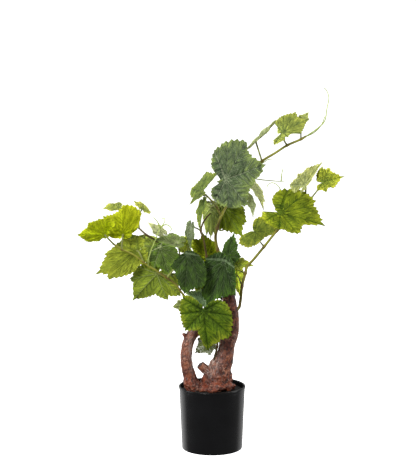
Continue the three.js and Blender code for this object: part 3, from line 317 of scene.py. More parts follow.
# brightness, paleness, warmth and whitish streaks of single leaves beside their kind,
# matched leaf by leaf to the photograph; the brightness is partly each leaf's own tone and partly painted
# light that evens out how lit, shaded or shone through each leaf is, and the streaks are a painted sheen
LOOKS = {
    "crown_leaf_1": (0.98, 0, 1, 0), "crown_leaf_2": (1.2, 0.12, 1.1, 0),
    "crown_leaf_3": (1.2, 0.15, 1.1, 0), "crown_leaf_4": (1.1, 0.1, 1.1, 0),
    "crown_leaf_5": (1.4, 0.1, 1.05, 0.2), "crown_leaf_6": (1.45, 0.14, 1.05, 0),
    "crown_leaf_7": (1.3, 0, 1.05, 0), "crown_leaf_8": (1.15, 0.3, 1.1, 0.2),
    "crown_leaf_9": (1.1, 0.18, 1.05, 0), "crown_leaf_10": (1.5, 0.3, 1.05, 0),
    "crown_leaf_11": (2.3, 0.35, 1.15, 0.2), "crown_leaf_12": (2, 0.65, 1, 0),
    "left_leaf_1": (1.85, 0, 1, 0), "left_leaf_2": (1.25, 0, 1.05, 0),
    "left_leaf_3": (1.5, 0.15, 1.1, 0), "left_leaf_4": (1.75, 0.14, 1.15, 0),
    "left_leaf_5": (0.85, 0.08, 1, 0), "left_leaf_6": (1.15, 0.03, 1.05, 0),
    "left_leaf_7": (1.7, 0.6, 1.05, 0.15), "left_leaf_8": (2.15, 0, 1.2, 0),
    "left_leaf_9": (2.5, 0.05, 1.2, 0), "left_leaf_10": (3.6, 0.05, 1, 0),
    "mid_leaf_1": (0.84, 0, 1, 0), "mid_leaf_2": (0.97, 0, 0.95, 0), "mid_leaf_3": (1.55, 0, 1, 0),
    "mid_leaf_4": (1.25, 0, 0.95, 0), "mid_leaf_5": (1.35, 0.07, 1.05, 0),
    "mid_leaf_6": (3.7, 0.08, 1, 0), "mid_leaf_7": (0.87, 0.01, 1.1, 0), "mid_leaf_8": (0.66, 0.25, 1, 0.9),
    "mid_leaf_9": (2.3, 0, 0.9, 0), "mid_leaf_10": (1.5, 0.24, 1.05, 0),
    "right_leaf_1": (0.72, 0.03, 1, 0), "right_leaf_2": (1.55, 0.05, 1.3, 0),
    "right_leaf_3": (1.3, 0.33, 1.1, 0.25), "right_leaf_4": (1.35, 0.08, 1.1, 0),
    "back_leaf_6": (2.4, 0.1, 1.05, 0),
}

# painted highlights, whitish places on the front of the bark where it shines: x, z, and how far they reach
# along x and z
PAINTED_HIGHLIGHTS = [(4, 168, 9, 20), (12, 190, 6, 14), (-6, 146, 10, 10), (54, 238, 4, 26), (52, 272, 6, 12),
        (-36, 185, 5, 30), (44, 178, 6, 22)]

# noise that is the same on every run

def lattice(ix, iy, iz, seed):
    h = (ix * 73856093) ^ (iy * 19349663) ^ (iz * 83492791) ^ (seed * 15485863)
    h = ((h ^ (h >> 13)) * 1274126177) & 0xFFFFFFFF
    h = h ^ (h >> 16)
    return (h & 0xFFFF) / 32767.5 - 1.0


def noise(p, seed):
    """Smooth noise in -1..1 at rows of points."""
    cell = np.floor(p).astype(np.int64)
    f = p - cell
    f = f * f * (3 - 2 * f)
    total = np.zeros(len(p))
    for dx in (0, 1):
        for dy in (0, 1):
            for dz in (0, 1):
                share = (f[:, 0] if dx else 1 - f[:, 0]) * (f[:, 1] if dy else 1 - f[:, 1])
                share = share * (f[:, 2] if dz else 1 - f[:, 2])
                total += share * lattice(cell[:, 0] + dx, cell[:, 1] + dy, cell[:, 2] + dz, seed)
    return total


def layered(p, octaves, seed):
    """Noise with finer and finer noise on it."""
    total = np.zeros(len(p))
    size = 1.0
    for i in range(octaves):
        total += size * noise(p * 2.03 ** i, seed + 31 * i)
        size *= 0.5
    return total


def grit(seed):
    """Repeatable number in -1..1 from a number."""
    s = math.sin(seed * 127.1 + 311.7) * 43758.5453
    return 2 * (s - math.floor(s)) - 1


# meshes

def unit(v):
    return v / np.linalg.norm(v)


def smooth_step(x, low, high):
    t = np.clip((x - low) / (high - low), 0, 1)
    return t * t * (3 - 2 * t)


def piece(name, node, verts, faces, material, places=None):
    """A mesh in place of a CAD node. places: attribute name to a row of three numbers a vertex."""
    mesh = bpy.data.meshes.new(name)
    mesh.from_pydata((np.asarray(verts) * MM).tolist(), [], faces)
    mesh.polygons.foreach_set("use_smooth", [True] * len(mesh.polygons))
    for key, values in (places or {}).items():
        held = mesh.attributes.new(key, "FLOAT_VECTOR", "POINT")
        held.data.foreach_set("vector", np.asarray(values, np.float32).ravel())
    mesh.materials.append(material)
    made = bpy.data.objects.new(name, mesh)
    bpy.context.scene.collection.objects.link(made)
    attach(made, "root")
    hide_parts(node)


def curve_points(points, fine=20):
    """Fine points along a smooth curve through the given ones."""
    p = [np.array(q, float) for q in points]
    if len(p) < 3:
        return np.array(p)
    p = [2 * p[0] - p[1]] + p + [2 * p[-1] - p[-2]]
    out = []
    for i in range(1, len(p) - 2):
        a, b, c, d = p[i - 1:i + 3]
        t0, t1, t2 = (np.linalg.norm(q - r) ** 0.5 for q, r in ((b, a), (c, b), (d, c)))
        m1 = ((b - a) / t0 - (c - a) / (t0 + t1) + (c - b) / t1) * t1
        m2 = ((c - b) / t1 - (d - b) / (t1 + t2) + (d - c) / t2) * t1
        for k in range(fine):
            t = k / fine
            out.append(b * (2 * t ** 3 - 3 * t * t + 1) + m1 * (t ** 3 - 2 * t * t + t)
                       + c * (3 * t * t - 2 * t ** 3) + m2 * (t ** 3 - t * t))
    out.append(p[-2])
    return np.array(out)


def spaced(line, step):
    """The line with points an even step apart, and each one's distance from the start."""
    run = np.concatenate([[0], np.cumsum(np.linalg.norm(np.diff(line, axis=0), axis=1))])
    count = max(2, int(round(run[-1] / step)) + 1)
    at = np.linspace(0, run[-1], count)
    return np.stack([np.interp(at, run, line[:, k]) for k in range(3)], 1), at


def frames(line):
    """Direction along a line and two directions across it, without twist."""
    along = np.gradient(line, axis=0)
    along /= np.linalg.norm(along, axis=1)[:, None]
    across = np.zeros_like(line)
    now = np.array([1.0, 0, 0]) if abs(along[0][2]) > 0.9 else np.array([0, 0, 1.0])
    for i, a in enumerate(along):
        now = unit(now - a * (now @ a))
        across[i] = now
    return along, across, np.cross(along, across)


def ring_faces(rings, sides):
    """Faces of a closed body of rings; its two end points come after the rings' own."""
    first, last, top = rings * sides, rings * sides + 1, (rings - 1) * sides
    pairs = [(j, (j + 1) % sides) for j in range(sides)]
    faces = [(i * sides + j, i * sides + k, (i + 1) * sides + k, (i + 1) * sides + j)
             for i in range(rings - 1) for j, k in pairs]
    for j, k in pairs:
        faces += [(first, k, j), (last, top + j, top + k)]
    return faces


def tube(line, radius, sides):
    """Closed round body: vertices, faces, and each vertex's ring and angle."""
    _, across, other = frames(line)
    angle = np.arange(sides) * 2 * math.pi / sides
    radius = np.asarray(radius, float)
    if radius.ndim == 1:
        radius = np.repeat(radius[:, None], sides, 1)
    ring = (line[:, None] + across[:, None] * (radius * np.cos(angle))[:, :, None]
            + other[:, None] * (radius * np.sin(angle))[:, :, None])
    rings = len(line)
    verts = np.concatenate([ring.reshape(-1, 3), line[:1], line[-1:]])
    ring_of = np.concatenate([np.repeat(np.arange(rings), sides), [0, rings - 1]])
    angle_of = np.concatenate([np.tile(angle, rings), [0, 0]])
    return verts, ring_faces(rings, sides), ring_of, angle_of


def turned(profile, sides):
    """Closed body turned about the upright axis; the profile starts and ends on the axis."""
    profile = np.array(profile, float)
    angle = np.arange(sides) * 2 * math.pi / sides
    body = profile[1:-1]
    ring = np.stack([body[:, 0][:, None] * np.cos(angle), body[:, 0][:, None] * np.sin(angle),
                     np.repeat(body[:, 1][:, None], sides, 1)], 2)
    verts = np.concatenate([ring.reshape(-1, 3), [(0, 0, profile[0][1]), (0, 0, profile[-1][1])]])
    return verts, ring_faces(len(body), sides)


def merged(bodies):
    """Vertices and faces of several bodies, as one list each."""
    verts, faces, shift = [], [], 0
    for body, body_faces in bodies:
        verts.append(body)
        faces += [tuple(i + shift for i in face) for face in body_faces]
        shift += len(body)
    return np.concatenate(verts), faces


# materials

def linear(colour):
    """Scene colour of a hex one."""
    out = []
    for i in (1, 3, 5):
        c = int(colour[i:i + 2], 16) / 255
        out.append(c / 12.92 if c <= 0.04045 else ((c + 0.055) / 1.055) ** 2.4)
    return (*out, 1.0)


class Graph:
    """Short words for building a material's nodes."""

    def __init__(self, name):
        self.material = bpy.data.materials.new(name)
        self.material.use_nodes = True
        self.tree = self.material.node_tree
        self.shader = self.tree.nodes["Principled BSDF"]

    def node(self, kind, **settings):
        made = self.tree.nodes.new(kind)
        for key, value in settings.items():
            setattr(made, key, value)
        return made

    def put(self, value, socket):
        """Give a socket another node's output, a hex colour or a plain value."""
        if isinstance(value, bpy.types.NodeSocket):
            self.tree.links.new(value, socket)
        else:
            socket.default_value = linear(value) if isinstance(value, str) else value

    def math(self, operation, *values):
        made = self.node("ShaderNodeMath", operation=operation)
        for socket, value in zip(made.inputs, values):
            self.put(value, socket)
        return made.outputs[0]

    def plus(self, a, b):
        return self.math("ADD", a, b)

    def minus(self, a, b):
        return self.math("SUBTRACT", a, b)

    def times(self, a, b):
        return self.math("MULTIPLY", a, b)

    def step(self, value, low, high):
        """0 below low and 1 above high, smooth between; low may be the larger."""
        made = self.node("ShaderNodeMapRange", interpolation_type="SMOOTHSTEP")
        for socket, v in zip(made.inputs, (value, low, high, 0.0, 1.0)):
            self.put(v, socket)
        return made.outputs[0]

    def mix(self, share, a, b, blend="MIX"):
        made = self.node("ShaderNodeMix", data_type="RGBA", blend_type=blend)
        self.put(share, made.inputs[0])
        self.put(a, made.inputs[6])
        self.put(b, made.inputs[7])
        return made.outputs[2]

    def place(self, name):
        """The three numbers that the mesh holds at each vertex under a name."""
        held = self.node("ShaderNodeAttribute", attribute_type="GEOMETRY", attribute_name=name)
        parts = self.node("ShaderNodeSeparateXYZ")
        self.put(held.outputs["Vector"], parts.inputs[0])
        return held.outputs["Vector"], parts.outputs

    def spot(self):
        """The point's own place on the object, in metres."""
        return self.node("ShaderNodeTexCoord").outputs["Object"]

    def joined(self, x, y, z):
        made = self.node("ShaderNodeCombineXYZ")
        for socket, value in zip(made.inputs, (x, y, z)):
            self.put(value, socket)
        return made.outputs[0]

    def scaled(self, vector, factors):
        made = self.node("ShaderNodeVectorMath", operation="MULTIPLY")
        self.put(vector, made.inputs[0])
        made.inputs[1].default_value = factors
        return made.outputs[0]

    def speckle(self, vector, scale, detail=3.0, rough=0.5, twist=0.0):
        made = self.node("ShaderNodeTexNoise")
        self.put(vector, made.inputs["Vector"])
        made.inputs["Scale"].default_value = scale
        made.inputs["Detail"].default_value = detail
        made.inputs["Roughness"].default_value = rough
        made.inputs["Distortion"].default_value = twist
        return made.outputs["Fac"]

    def cells(self, vector, scale, feature="DISTANCE_TO_EDGE"):
        made = self.node("ShaderNodeTexVoronoi", feature=feature)
        self.put(vector, made.inputs["Vector"])
        made.inputs["Scale"].default_value = scale
        return made.outputs["Distance"]

    def bump(self, height, distance, strength):
        made = self.node("ShaderNodeBump")
        made.inputs["Strength"].default_value = strength
        made.inputs["Distance"].default_value = distance
        self.put(height, made.inputs["Height"])
        return made.outputs["Normal"]

    def finish(self, colour, rough, normal, specular):
        self.put(colour, self.shader.inputs["Base Color"])
        self.put(rough, self.shader.inputs["Roughness"])
        self.put(normal, self.shader.inputs["Normal"])
        self.shader.inputs["Specular IOR Level"].default_value = specular
        return self.material


def leaf_material(name, heart, middle, margin, vein, under, under_vein, shown, gloss):
    """Printed cloth leaf: main veins to each lobe, padded cloth between side veins, a fine net.

    Place "leaf": position on the blade as a share of its length, and the leaf's own number.
    Place "leaf_edge": share of the way to the margin, 1 on the upper face, and the leaf's paleness.
    Place "leaf_look": the leaf's brightness, partly painted light, its warmth, above 1 where it is
    yellower, and its share of whitish streaks, which are a painted sheen.
    The colour runs from heart beside the main veins over middle to margin.
    shown: strength of the main veins, of the side veins and of the net.
    """
    g = Graph(name)
    where, (px, py, own) = g.place("leaf")
    _, (rim, upper, pale) = g.place("leaf_edge")
    _, (tone_and_painted_light, warm, painted_sheen) = g.place("leaf_look")
    radius = g.math("SQRT", g.plus(g.times(px, px), g.times(py, py)))
    angle = g.math("ABSOLUTE", g.math("ARCTAN2", py, px))
    off = None
    for lobe in LOBE_ANGLES:
        here = g.math("ABSOLUTE", g.minus(angle, math.radians(lobe)))
        off = here if off is None else g.math("MINIMUM", off, here)
    along = g.times(radius, g.math("COSINE", off))
    beside = g.times(radius, g.math("SINE", off))
    blotch = g.speckle(where, 3.4, 4.0, 0.62)
    fine = g.speckle(where, 44.0, 3.0, 0.7)
    ripple = g.times(g.minus(g.speckle(where, 8.0, 2.0), 0.5), 0.06)
    wander = g.plus(beside, g.times(ripple, 0.3))
    slant = g.plus(g.minus(along, g.times(beside, SIDE_VEIN_SLANT)), ripple)
    rib = g.math("ABSOLUTE", g.minus(g.math("FRACT", g.math("DIVIDE", slant, SIDE_VEIN_STEP)), 0.5))
    feather = g.speckle(g.joined(g.times(slant, 26.0), g.times(beside, 5.0), own), 1.0, 3.0, 0.65)

    # lines of the veins
    width = g.minus(0.014, g.times(along, 0.010))
    main = g.step(g.minus(wander, width), 0.004, -0.003)
    side = g.times(g.step(rib, 0.1, 0.03), g.step(rim, 1.0, 0.75))
    net = g.step(g.cells(where, 26.0), 0.09, 0.0)
    line = g.math("MAXIMUM", g.times(main, shown[0]), g.times(side, shown[1]))
    line = g.math("MAXIMUM", line, g.times(net, shown[2]))

    # how far each point has come from the heart colour to the margin's
    toward = g.times(g.math("POWER", rim, 5.0), 0.6)
    # lighter on the raised pads between the side veins, darker at the veins: painted shading of the padded
    # cloth
    toward = g.plus(toward, g.times(g.step(rib, 0.02, 0.4), 0.12))
    toward = g.plus(toward, g.times(g.step(wander, 0.0, 0.06), 0.25))
    toward = g.plus(toward, g.times(g.minus(blotch, 0.42), 1.6))
    toward = g.plus(toward, g.times(g.minus(feather, 0.5), 0.9))
    blade = g.mix(g.step(toward, -0.1, 0.55), heart, middle)
    blade = g.mix(g.step(toward, 0.45, 1.15), blade, margin)
    painted = g.mix(line, blade, vein)
    back = g.mix(g.step(toward, 0.1, 1.1), under, margin)
    back = g.mix(g.times(line, 0.8), back, under_vein)
    colour = g.mix(pale, g.mix(upper, back, painted), "#c6cda2")

    # light and dark of each leaf, partly painted light, of its blotches, of the feathering between veins
    # and of its weave
    bright = g.plus(1.0, g.times(g.minus(blotch, 0.5), 0.9))
    bright = g.plus(bright, g.times(g.minus(feather, 0.5), 2.8))
    bright = g.plus(bright, g.times(g.minus(fine, 0.5), 2.6))
    bright = g.times(g.math("MAXIMUM", bright, 0.25), tone_and_painted_light)
    shade = g.node("ShaderNodeCombineColor")
    g.put(g.times(bright, warm), shade.inputs[0])
    g.put(bright, shade.inputs[1])
    g.put(bright, shade.inputs[2])
    colour = g.mix(1.0, colour, shade.outputs[0], "MULTIPLY")
    # painted sheen: whitish streaks along the feathering, by the leaf's share
    glint = g.times(g.step(feather, 0.5, 0.6), painted_sheen)
    colour = g.mix(glint, colour, "#dfe6d2")
    rough = g.plus(0.4, g.times(fine, 0.3))
    rough = g.plus(rough, g.times(side, 0.06))
    sunk = g.math("MAXIMUM", main, g.times(side, 0.6))
    sunk = g.times(sunk, g.minus(g.times(upper, 2.0), 1.0))
    relief = g.plus(g.times(fine, 0.5), g.times(feather, 1.4))
    relief = g.minus(relief, sunk)
    return g.finish(colour, rough, g.bump(relief, 0.0014, 1.0), gloss)


def bark_material():
    """Varnished bark: long streaks, dark cracks, pale scuffs that are partly painted highlight, and painted
    highlights on its front.

    Place "bark": across an arm, along it, and the bark's height.
    Place "bark_more": 1 at the foot, 1 on the cut end, and the crack's share.
    Place "bark_painted_highlight": 1 in the middle of a painted highlight on the front.
    """
    g = Graph("bark")
    where, (_, _, high) = g.place("bark")
    _, (foot, cut, crack) = g.place("bark_more")
    _, (painted_highlight, _, _) = g.place("bark_painted_highlight")
    spot = g.spot()
    streak = g.speckle(g.scaled(where, (1.0, 0.2, 1.0)), 0.55, 5.0, 0.62, 0.6)
    patch = g.speckle(spot, 90.0, 4.0, 0.6)
    grain = g.speckle(spot, 700.0, 4.0, 0.65)
    flake = g.speckle(spot, 260.0, 3.0, 0.6, 0.8)
    colour = g.mix(g.step(streak, 0.32, 0.68), "#1f0a04", "#7a361e")
    colour = g.mix(g.times(g.step(patch, 0.45, 0.62), 0.7), colour, "#93522f")
    colour = g.mix(g.times(g.step(flake, 0.44, 0.34), 0.75), colour, "#1a0805")
    # pale on the raised bark: partly scuffs, partly painted highlight
    scuff_and_highlight = g.times(g.step(high, 0.35, 0.85), g.step(flake, 0.5, 0.64))
    scuff_and_highlight = g.times(scuff_and_highlight, g.minus(1.0, g.times(foot, 0.3)))
    colour = g.mix(g.times(scuff_and_highlight, 0.6), colour, "#c9977d")
    crumb = g.times(foot, g.step(patch, 0.5, 0.6))
    colour = g.mix(g.times(crumb, 0.6), colour, "#7e2f1c")
    colour = g.mix(g.times(crack, 0.9), colour, "#120604")
    colour = g.mix(g.times(cut, 0.85), colour, "#1c0d09")
    # painted highlights: pale streaks on the front of the bark
    strand = g.speckle(g.scaled(where, (1.0, 0.12, 1.0)), 0.9, 3.0, 0.6)
    colour = g.mix(g.times(painted_highlight, g.step(strand, 0.44, 0.62)), colour, "#cdb3a6")
    rough = g.plus(0.26, g.times(grain, 0.4))
    height = g.plus(g.times(streak, 0.6), g.times(grain, 0.35))
    height = g.plus(height, g.times(flake, 0.7))
    return g.finish(colour, rough, g.bump(height, 0.0016, 1.0), 0.5)


def stem_material(name, young, old):
    """Moulded stem: fine ridges along it, browner joints.

    Place "stem": round, along, and kind, which is 0 on a shoot, 1 on a stalk and 2 on a tendril.
    Place "stem_more": nearness to a joint, share of the way along, and nothing.
    """
    g = Graph(name)
    where, (_, _, kind) = g.place("stem")
    _, (joint, way, _) = g.place("stem_more")
    ridge = g.speckle(g.scaled(where, (1.0, 0.12, 1.0)), 1.3, 3.0, 0.55)
    patch = g.speckle(g.scaled(where, (0.3, 0.06, 1.0)), 1.0, 3.0, 0.5)
    shoot = g.mix(g.step(g.plus(patch, g.times(way, 0.35)), 0.35, 0.85), old, young)
    shoot = g.mix(g.times(joint, 0.6), shoot, "#5f4019")
    stalk = g.mix(g.step(patch, 0.3, 0.7), "#6f7433", "#8f9a48")
    tendril = g.mix(g.step(patch, 0.3, 0.7), "#93a548", "#b4c56a")
    colour = g.mix(g.step(kind, 0.2, 0.8), shoot, stalk)
    colour = g.mix(g.step(kind, 1.2, 1.8), colour, tendril)
    colour = g.mix(g.times(g.step(ridge, 0.55, 0.75), 0.35), colour, "#4b3c1f")
    rough = g.plus(0.36, g.times(ridge, 0.3))
    return g.finish(colour, rough, g.bump(ridge, 0.0004, 0.7), 0.45)


def pot_material():
    g = Graph("pot_plastic")
    spot = g.spot()
    grain = g.speckle(spot, 900.0, 2.0, 0.5)
    cloud = g.speckle(spot, 24.0, 4.0, 0.6)
    rub = g.speckle(g.scaled(spot, (1.0, 1.0, 6.0)), 60.0, 5.0, 0.7)
    colour = g.mix(g.step(cloud, 0.35, 0.7), "#060607", "#0a0a0c")
    colour = g.mix(g.times(g.step(rub, 0.62, 0.8), 0.2), colour, "#1f2123")
    rough = g.plus(0.24, g.times(cloud, 0.06))
    rough = g.plus(rough, g.times(g.step(rub, 0.6, 0.8), 0.12))
    return g.finish(colour, rough, g.bump(grain, 0.00008, 0.5), 0.2)


def fill_material():
    g = Graph("fill_grit")
    spot = g.spot()
    grain = g.speckle(spot, 420.0, 4.0, 0.65)
    lump = g.cells(spot, 190.0, "F1")
    patch = g.speckle(spot, 45.0, 3.0, 0.6)
    colour = g.mix(g.step(grain, 0.35, 0.75), "#0b0a09", "#221e1a")
    colour = g.mix(g.times(g.step(patch, 0.55, 0.8), 0.4), colour, "#2c211a")
    rough = g.plus(0.72, g.times(grain, 0.25))
    height = g.plus(grain, g.times(lump, 0.8))
    return g.finish(colour, rough, g.bump(height, 0.0012, 0.9), 0.3)


# pot and filling

def wall_radius(z):
    return POT_BASE_RADIUS + (POT_RIM_RADIUS - 1 - POT_BASE_RADIUS) * z / (POT_HEIGHT - POT_RIM_BEAD)


def arc(x, z, radius, first, last, points):
    """A round stretch of a profile, from one angle in degrees to another."""
    turn = np.radians(np.linspace(first, last, points))
    return [(x + radius * math.cos(a), z + radius * math.sin(a)) for a in turn]


def make_pot():
    foot, lip, top_lip, inner_lip = 1.6, 0.9, 1.2, 0.9
    neck = POT_HEIGHT - POT_RIM_BEAD
    profile = [(0, 0.0), (POT_BASE_RADIUS - 6, 0.0), (POT_BASE_RADIUS - 2.2, 0.0)]
    profile += arc(POT_BASE_RADIUS - foot, foot, foot, -90, 0, 7)
    profile += [(wall_radius(z), z) for z in np.linspace(4, neck - 1.6, 24)]
    profile += [(wall_radius(neck) - 0.2, neck - 1.0), (wall_radius(neck), neck - 0.7)]
    profile += arc(POT_RIM_RADIUS - lip, neck + 0.5, lip, -80, 0, 6)
    profile += arc(POT_RIM_RADIUS - top_lip, POT_HEIGHT - top_lip, top_lip, 0, 90, 9)[1:]
    inside = wall_radius(neck) - POT_WALL
    profile += arc(inside + inner_lip, POT_HEIGHT - inner_lip, inner_lip, 90, 180, 6)
    low = wall_radius(POT_FLOOR) - POT_WALL
    profile += [(inside + (low - inside) * t, POT_HEIGHT - 3 + (POT_FLOOR - POT_HEIGHT + 3) * t)
                for t in np.linspace(0, 1, 14)]
    profile += [(low * 0.5, POT_FLOOR), (0, POT_FLOOR)]
    verts, faces = turned(profile, 176)
    piece("pot_shell", "pot", verts, faces, pot_material())


def make_fill():
    """The filling, with a rough crowned top that rises a little round the trunk."""
    wall = wall_radius(POT_FLOOR) - POT_WALL
    top = wall_radius(POT_HEIGHT - POT_RIM_BEAD) - POT_WALL
    height = POT_HEIGHT - POT_RIM_BEAD + 2 - POT_FLOOR
    radius = wall + (top - wall) * (FILL_EDGE - POT_FLOOR) / height - GAP
    low = POT_FLOOR + GAP
    start = wall - GAP - 0.1
    profile = [(0, low), (start, low)]
    profile += [(start + (radius - start) * t, low + (FILL_EDGE - low) * t) for t in (0.3, 0.6, 0.9, 1.0)]
    for r in np.linspace(radius - 0.5, 0.6, 62):
        crown = smooth_step(r, radius, FILL_CROWN_RADIUS - 6)
        profile.append((r, FILL_EDGE + (FILL_TOP - FILL_EDGE) * crown))
    profile.append((0, FILL_TOP))
    verts, faces = turned(profile, 200)
    loose = smooth_step(verts[:, 2], FILL_EDGE - 0.5, FILL_EDGE + 0.4)
    rough = 0.9 * layered(verts / 5.5, 3, 5) + 0.55 * np.abs(layered(verts / 2.1, 2, 9))
    verts[:, 2] += loose * (rough - 0.35)
    piece("fill_top", "potting_fill", verts, faces, fill_material())


# trunk

def arm_line(rows, step):
    """Evenly spaced centre line and radius of one arm, with the distance along it."""
    line, run = spaced(curve_points([r[:3] for r in rows]), step)
    knots = np.linspace(0, 1, len(rows))
    share = run / run[-1]
    radius = np.interp(share, knots, [r[3] for r in rows])
    for _ in range(6):
        radius[1:-1] = (radius[:-2] + 2 * radius[1:-1] + radius[2:]) / 4
    return line, radius, run


def arm_body(rows, seed, flatten=0):
    """One arm with an uneven section. flatten: how much its foot is narrowed from front to back."""
    line, radius, run = arm_line(rows, ARM_STEP)
    sides = 48
    angle = np.arange(sides) * 2 * math.pi / sides
    turn = run[:, None] / 14.0
    wide = 1 + 0.06 * np.sin(3 * angle + seed + turn * 0.25)
    wide = wide + 0.035 * np.sin(5 * angle - seed * 2 - turn * 0.3)
    foot = np.clip((170 - line[:, 2]) / 55, 0, 1)
    wide = wide * (1 - flatten * foot[:, None] * np.abs(np.sin(angle)))
    return tube(line, radius[:, None] * wide, sides)[:2]


def lump_body(x, y, z, radius, seed):
    """A rough ball."""
    rows, sides = 14, 22
    profile = [(radius * math.sin(math.pi * i / rows), -radius * math.cos(math.pi * i / rows))
               for i in range(rows + 1)]
    profile[0], profile[-1] = (0, -radius), (0, radius)
    verts, faces = turned(profile, sides)
    grow = 1 + 0.16 * layered(verts / 7.0 + seed * 3.7, 3, seed)
    verts = verts * grow[:, None] * np.array([1, 1, 0.8]) + np.array([x, y, z])
    return verts, faces


def joined(bodies, voxel):
    """One closed mesh round overlapping bodies."""
    verts, faces = merged(bodies)
    mesh = bpy.data.meshes.new("trunk_source")
    mesh.from_pydata(verts.tolist(), [], faces)
    held = bpy.data.objects.new("trunk_source", mesh)
    bpy.context.scene.collection.objects.link(held)
    remesh = held.modifiers.new("whole", "REMESH")
    remesh.mode = "VOXEL"
    remesh.voxel_size = voxel
    soften = held.modifiers.new("soften", "SMOOTH")
    soften.factor = 0.5
    soften.iterations = 5
    depsgraph = bpy.context.evaluated_depsgraph_get()
    result = bpy.data.meshes.new_from_object(held.evaluated_get(depsgraph))
    count = len(result.vertices)
    out = np.zeros(count * 3)
    result.vertices.foreach_get("co", out)
    normals = np.zeros(count * 3)
    result.vertices.foreach_get("normal", normals)
    polygons = [tuple(p.vertices) for p in result.polygons]
    bpy.data.objects.remove(held)
    bpy.data.meshes.remove(mesh)
    bpy.data.meshes.remove(result)
    return out.reshape(-1, 3), normals.reshape(-1, 3), polygons


def on_arms(points):
    """Where each point lies on its nearest arm: across it, along it, and again across it."""
    best = np.full(len(points), 1e9)
    around = np.zeros((len(points), 3))
    for number, rows in enumerate((RIGHT_ARM, LEFT_ARM, KNOB, BROKEN_STUB)):
        line, radius, run = arm_line(rows, ARM_STEP)
        _, across, other = frames(line)
        away = np.linalg.norm(points[:, None] - line[None], axis=2) / radius[None]
        near = away.argmin(1)
        away = away[np.arange(len(points)), near]
        closer = away < best
        best = np.where(closer, away, best)
        out = points - line[near]
        angle = np.arctan2((out * other[near]).sum(1), (out * across[near]).sum(1))
        at = np.stack([radius[near] * np.cos(angle), run[near], radius[near] * np.sin(angle)], 1)
        around[closer] = (at + number * 400.0)[closer]
    return around


def bark_relief(points, around, foot):
    """Height of the bark above the arms' skin, and the share of the cracks."""
    grain = around * np.array([1 / 3.4, 1 / 26.0, 1 / 3.4])
    warp = 0.6 * layered(points / 11.0, 2, 4)
    furrow = 1 - np.abs(layered(grain + warp[:, None], 3, 11))
    crack = smooth_step(furrow, 0.86, 1.0)
    broad = layered(points / 12.0, 3, 21)
    knots = np.maximum(0, layered(points / 7.5, 2, 33) - 0.15)
    crumbs = layered(points / 3.2, 3, 41)
    height = 0.9 * broad + 1.5 * knots - 1.0 * crack * (1 - 0.5 * foot)
    height = height + foot * (1.3 * crumbs + 0.6 * broad) + 0.22 * layered(points / 1.3, 2, 51)
    return height, crack


def make_trunk():
    """Both arms, the stubs and the lumps as one skin, then cracked and knotted bark."""
    bodies = [arm_body(RIGHT_ARM, 1.3, 0.36), arm_body(LEFT_ARM, 4.1), arm_body(KNOB, 2.2),
              arm_body(BROKEN_STUB, 5.5)]
    bodies += [lump_body(*row, i + 3) for i, row in enumerate(LUMPS)]
    points, normals, faces = joined(bodies, TRUNK_VOXEL)
    around = on_arms(points)
    foot = smooth_step(points[:, 2], 150, 116)
    height, crack = bark_relief(points, around, foot)
    buried = smooth_step(points[:, 2], FILL_TOP - 1, FILL_TOP + 2)
    points = points + normals * (height * buried)[:, None]
    end = np.array(KNOB[-1][:3], float)
    cut = smooth_step((points - end) @ unit(end - np.array(KNOB[0][:3], float)), -1.6, 0.2)
    cut = cut * (np.linalg.norm(points - end, axis=1) < 12)
    # painted highlights: whitish places only where the bark faces the front
    painted_highlight = np.zeros(len(points))
    for x, z, wide, high in PAINTED_HIGHLIGHTS:
        near = np.exp(-((points[:, 0] - x) / wide) ** 2 - ((points[:, 2] - z) / high) ** 2)
        painted_highlight = np.maximum(painted_highlight, near * (normals[:, 1] < 0))
    places = {
        "bark": np.stack([around[:, 0], around[:, 1], np.clip(0.5 + 0.45 * height, 0, 1)], 1),
        "bark_more": np.stack([foot, cut, crack], 1),
        "bark_painted_highlight": np.stack([painted_highlight, painted_highlight, painted_highlight], 1),
    }
    piece("trunk_bark", "trunk", points, faces, bark_material(), places)


# shoots, their stalks and tendrils

def leant(shoot, point):
    """A point moved in depth along the line of sight of the photograph."""
    (x0, z0), (dx, dz), slope = SHOOTS[shoot]["lean"]
    x, y, z = point
    out = max(0.0, (x - x0) * dx + (z - z0) * dz)
    depth = y + slope * out
    scale = (depth - EYE[1]) / (y - EYE[1])
    return np.array([EYE[0] + (x - EYE[0]) * scale, depth, EYE[2] + (z - EYE[2]) * scale])


def leaf_frame(leaf):
    """Foot, long direction, upper side, cross direction and length of a blade."""
    _, shoot, _, base, tip, face = leaf[:6]
    base = leant(shoot, base)
    along = leant(shoot, tip) - base
    length = np.linalg.norm(along)
    along = along / length
    up = np.array(face, float)
    up = unit(up - along * (up @ along))
    return base, along, up, np.cross(up, along), length


def stalk_line(leaf):
    """Curve of a leaf's stalk from the shoot to just under the blade, and its radius."""
    base, along, up, _, length = leaf_frame(leaf)
    radius = STALK_RADIUS * (0.85 if length < SMALL_LEAF else 1)
    arrive = unit(up + 0.5 * along)
    tilt = math.acos(min(1, arrive @ up))
    clear = BLADE / 2 + radius * math.sin(tilt) * 0.4 + length * 0.045 * 0.12
    end = base - up * clear
    start = leant(leaf[1], leaf[2])
    bend = end - arrive * 0.4 * np.linalg.norm(start - end)
    t = np.linspace(0, 1, 24)[:, None]
    return start * (1 - t) ** 2 + 2 * bend * t * (1 - t) + end * t ** 2, radius


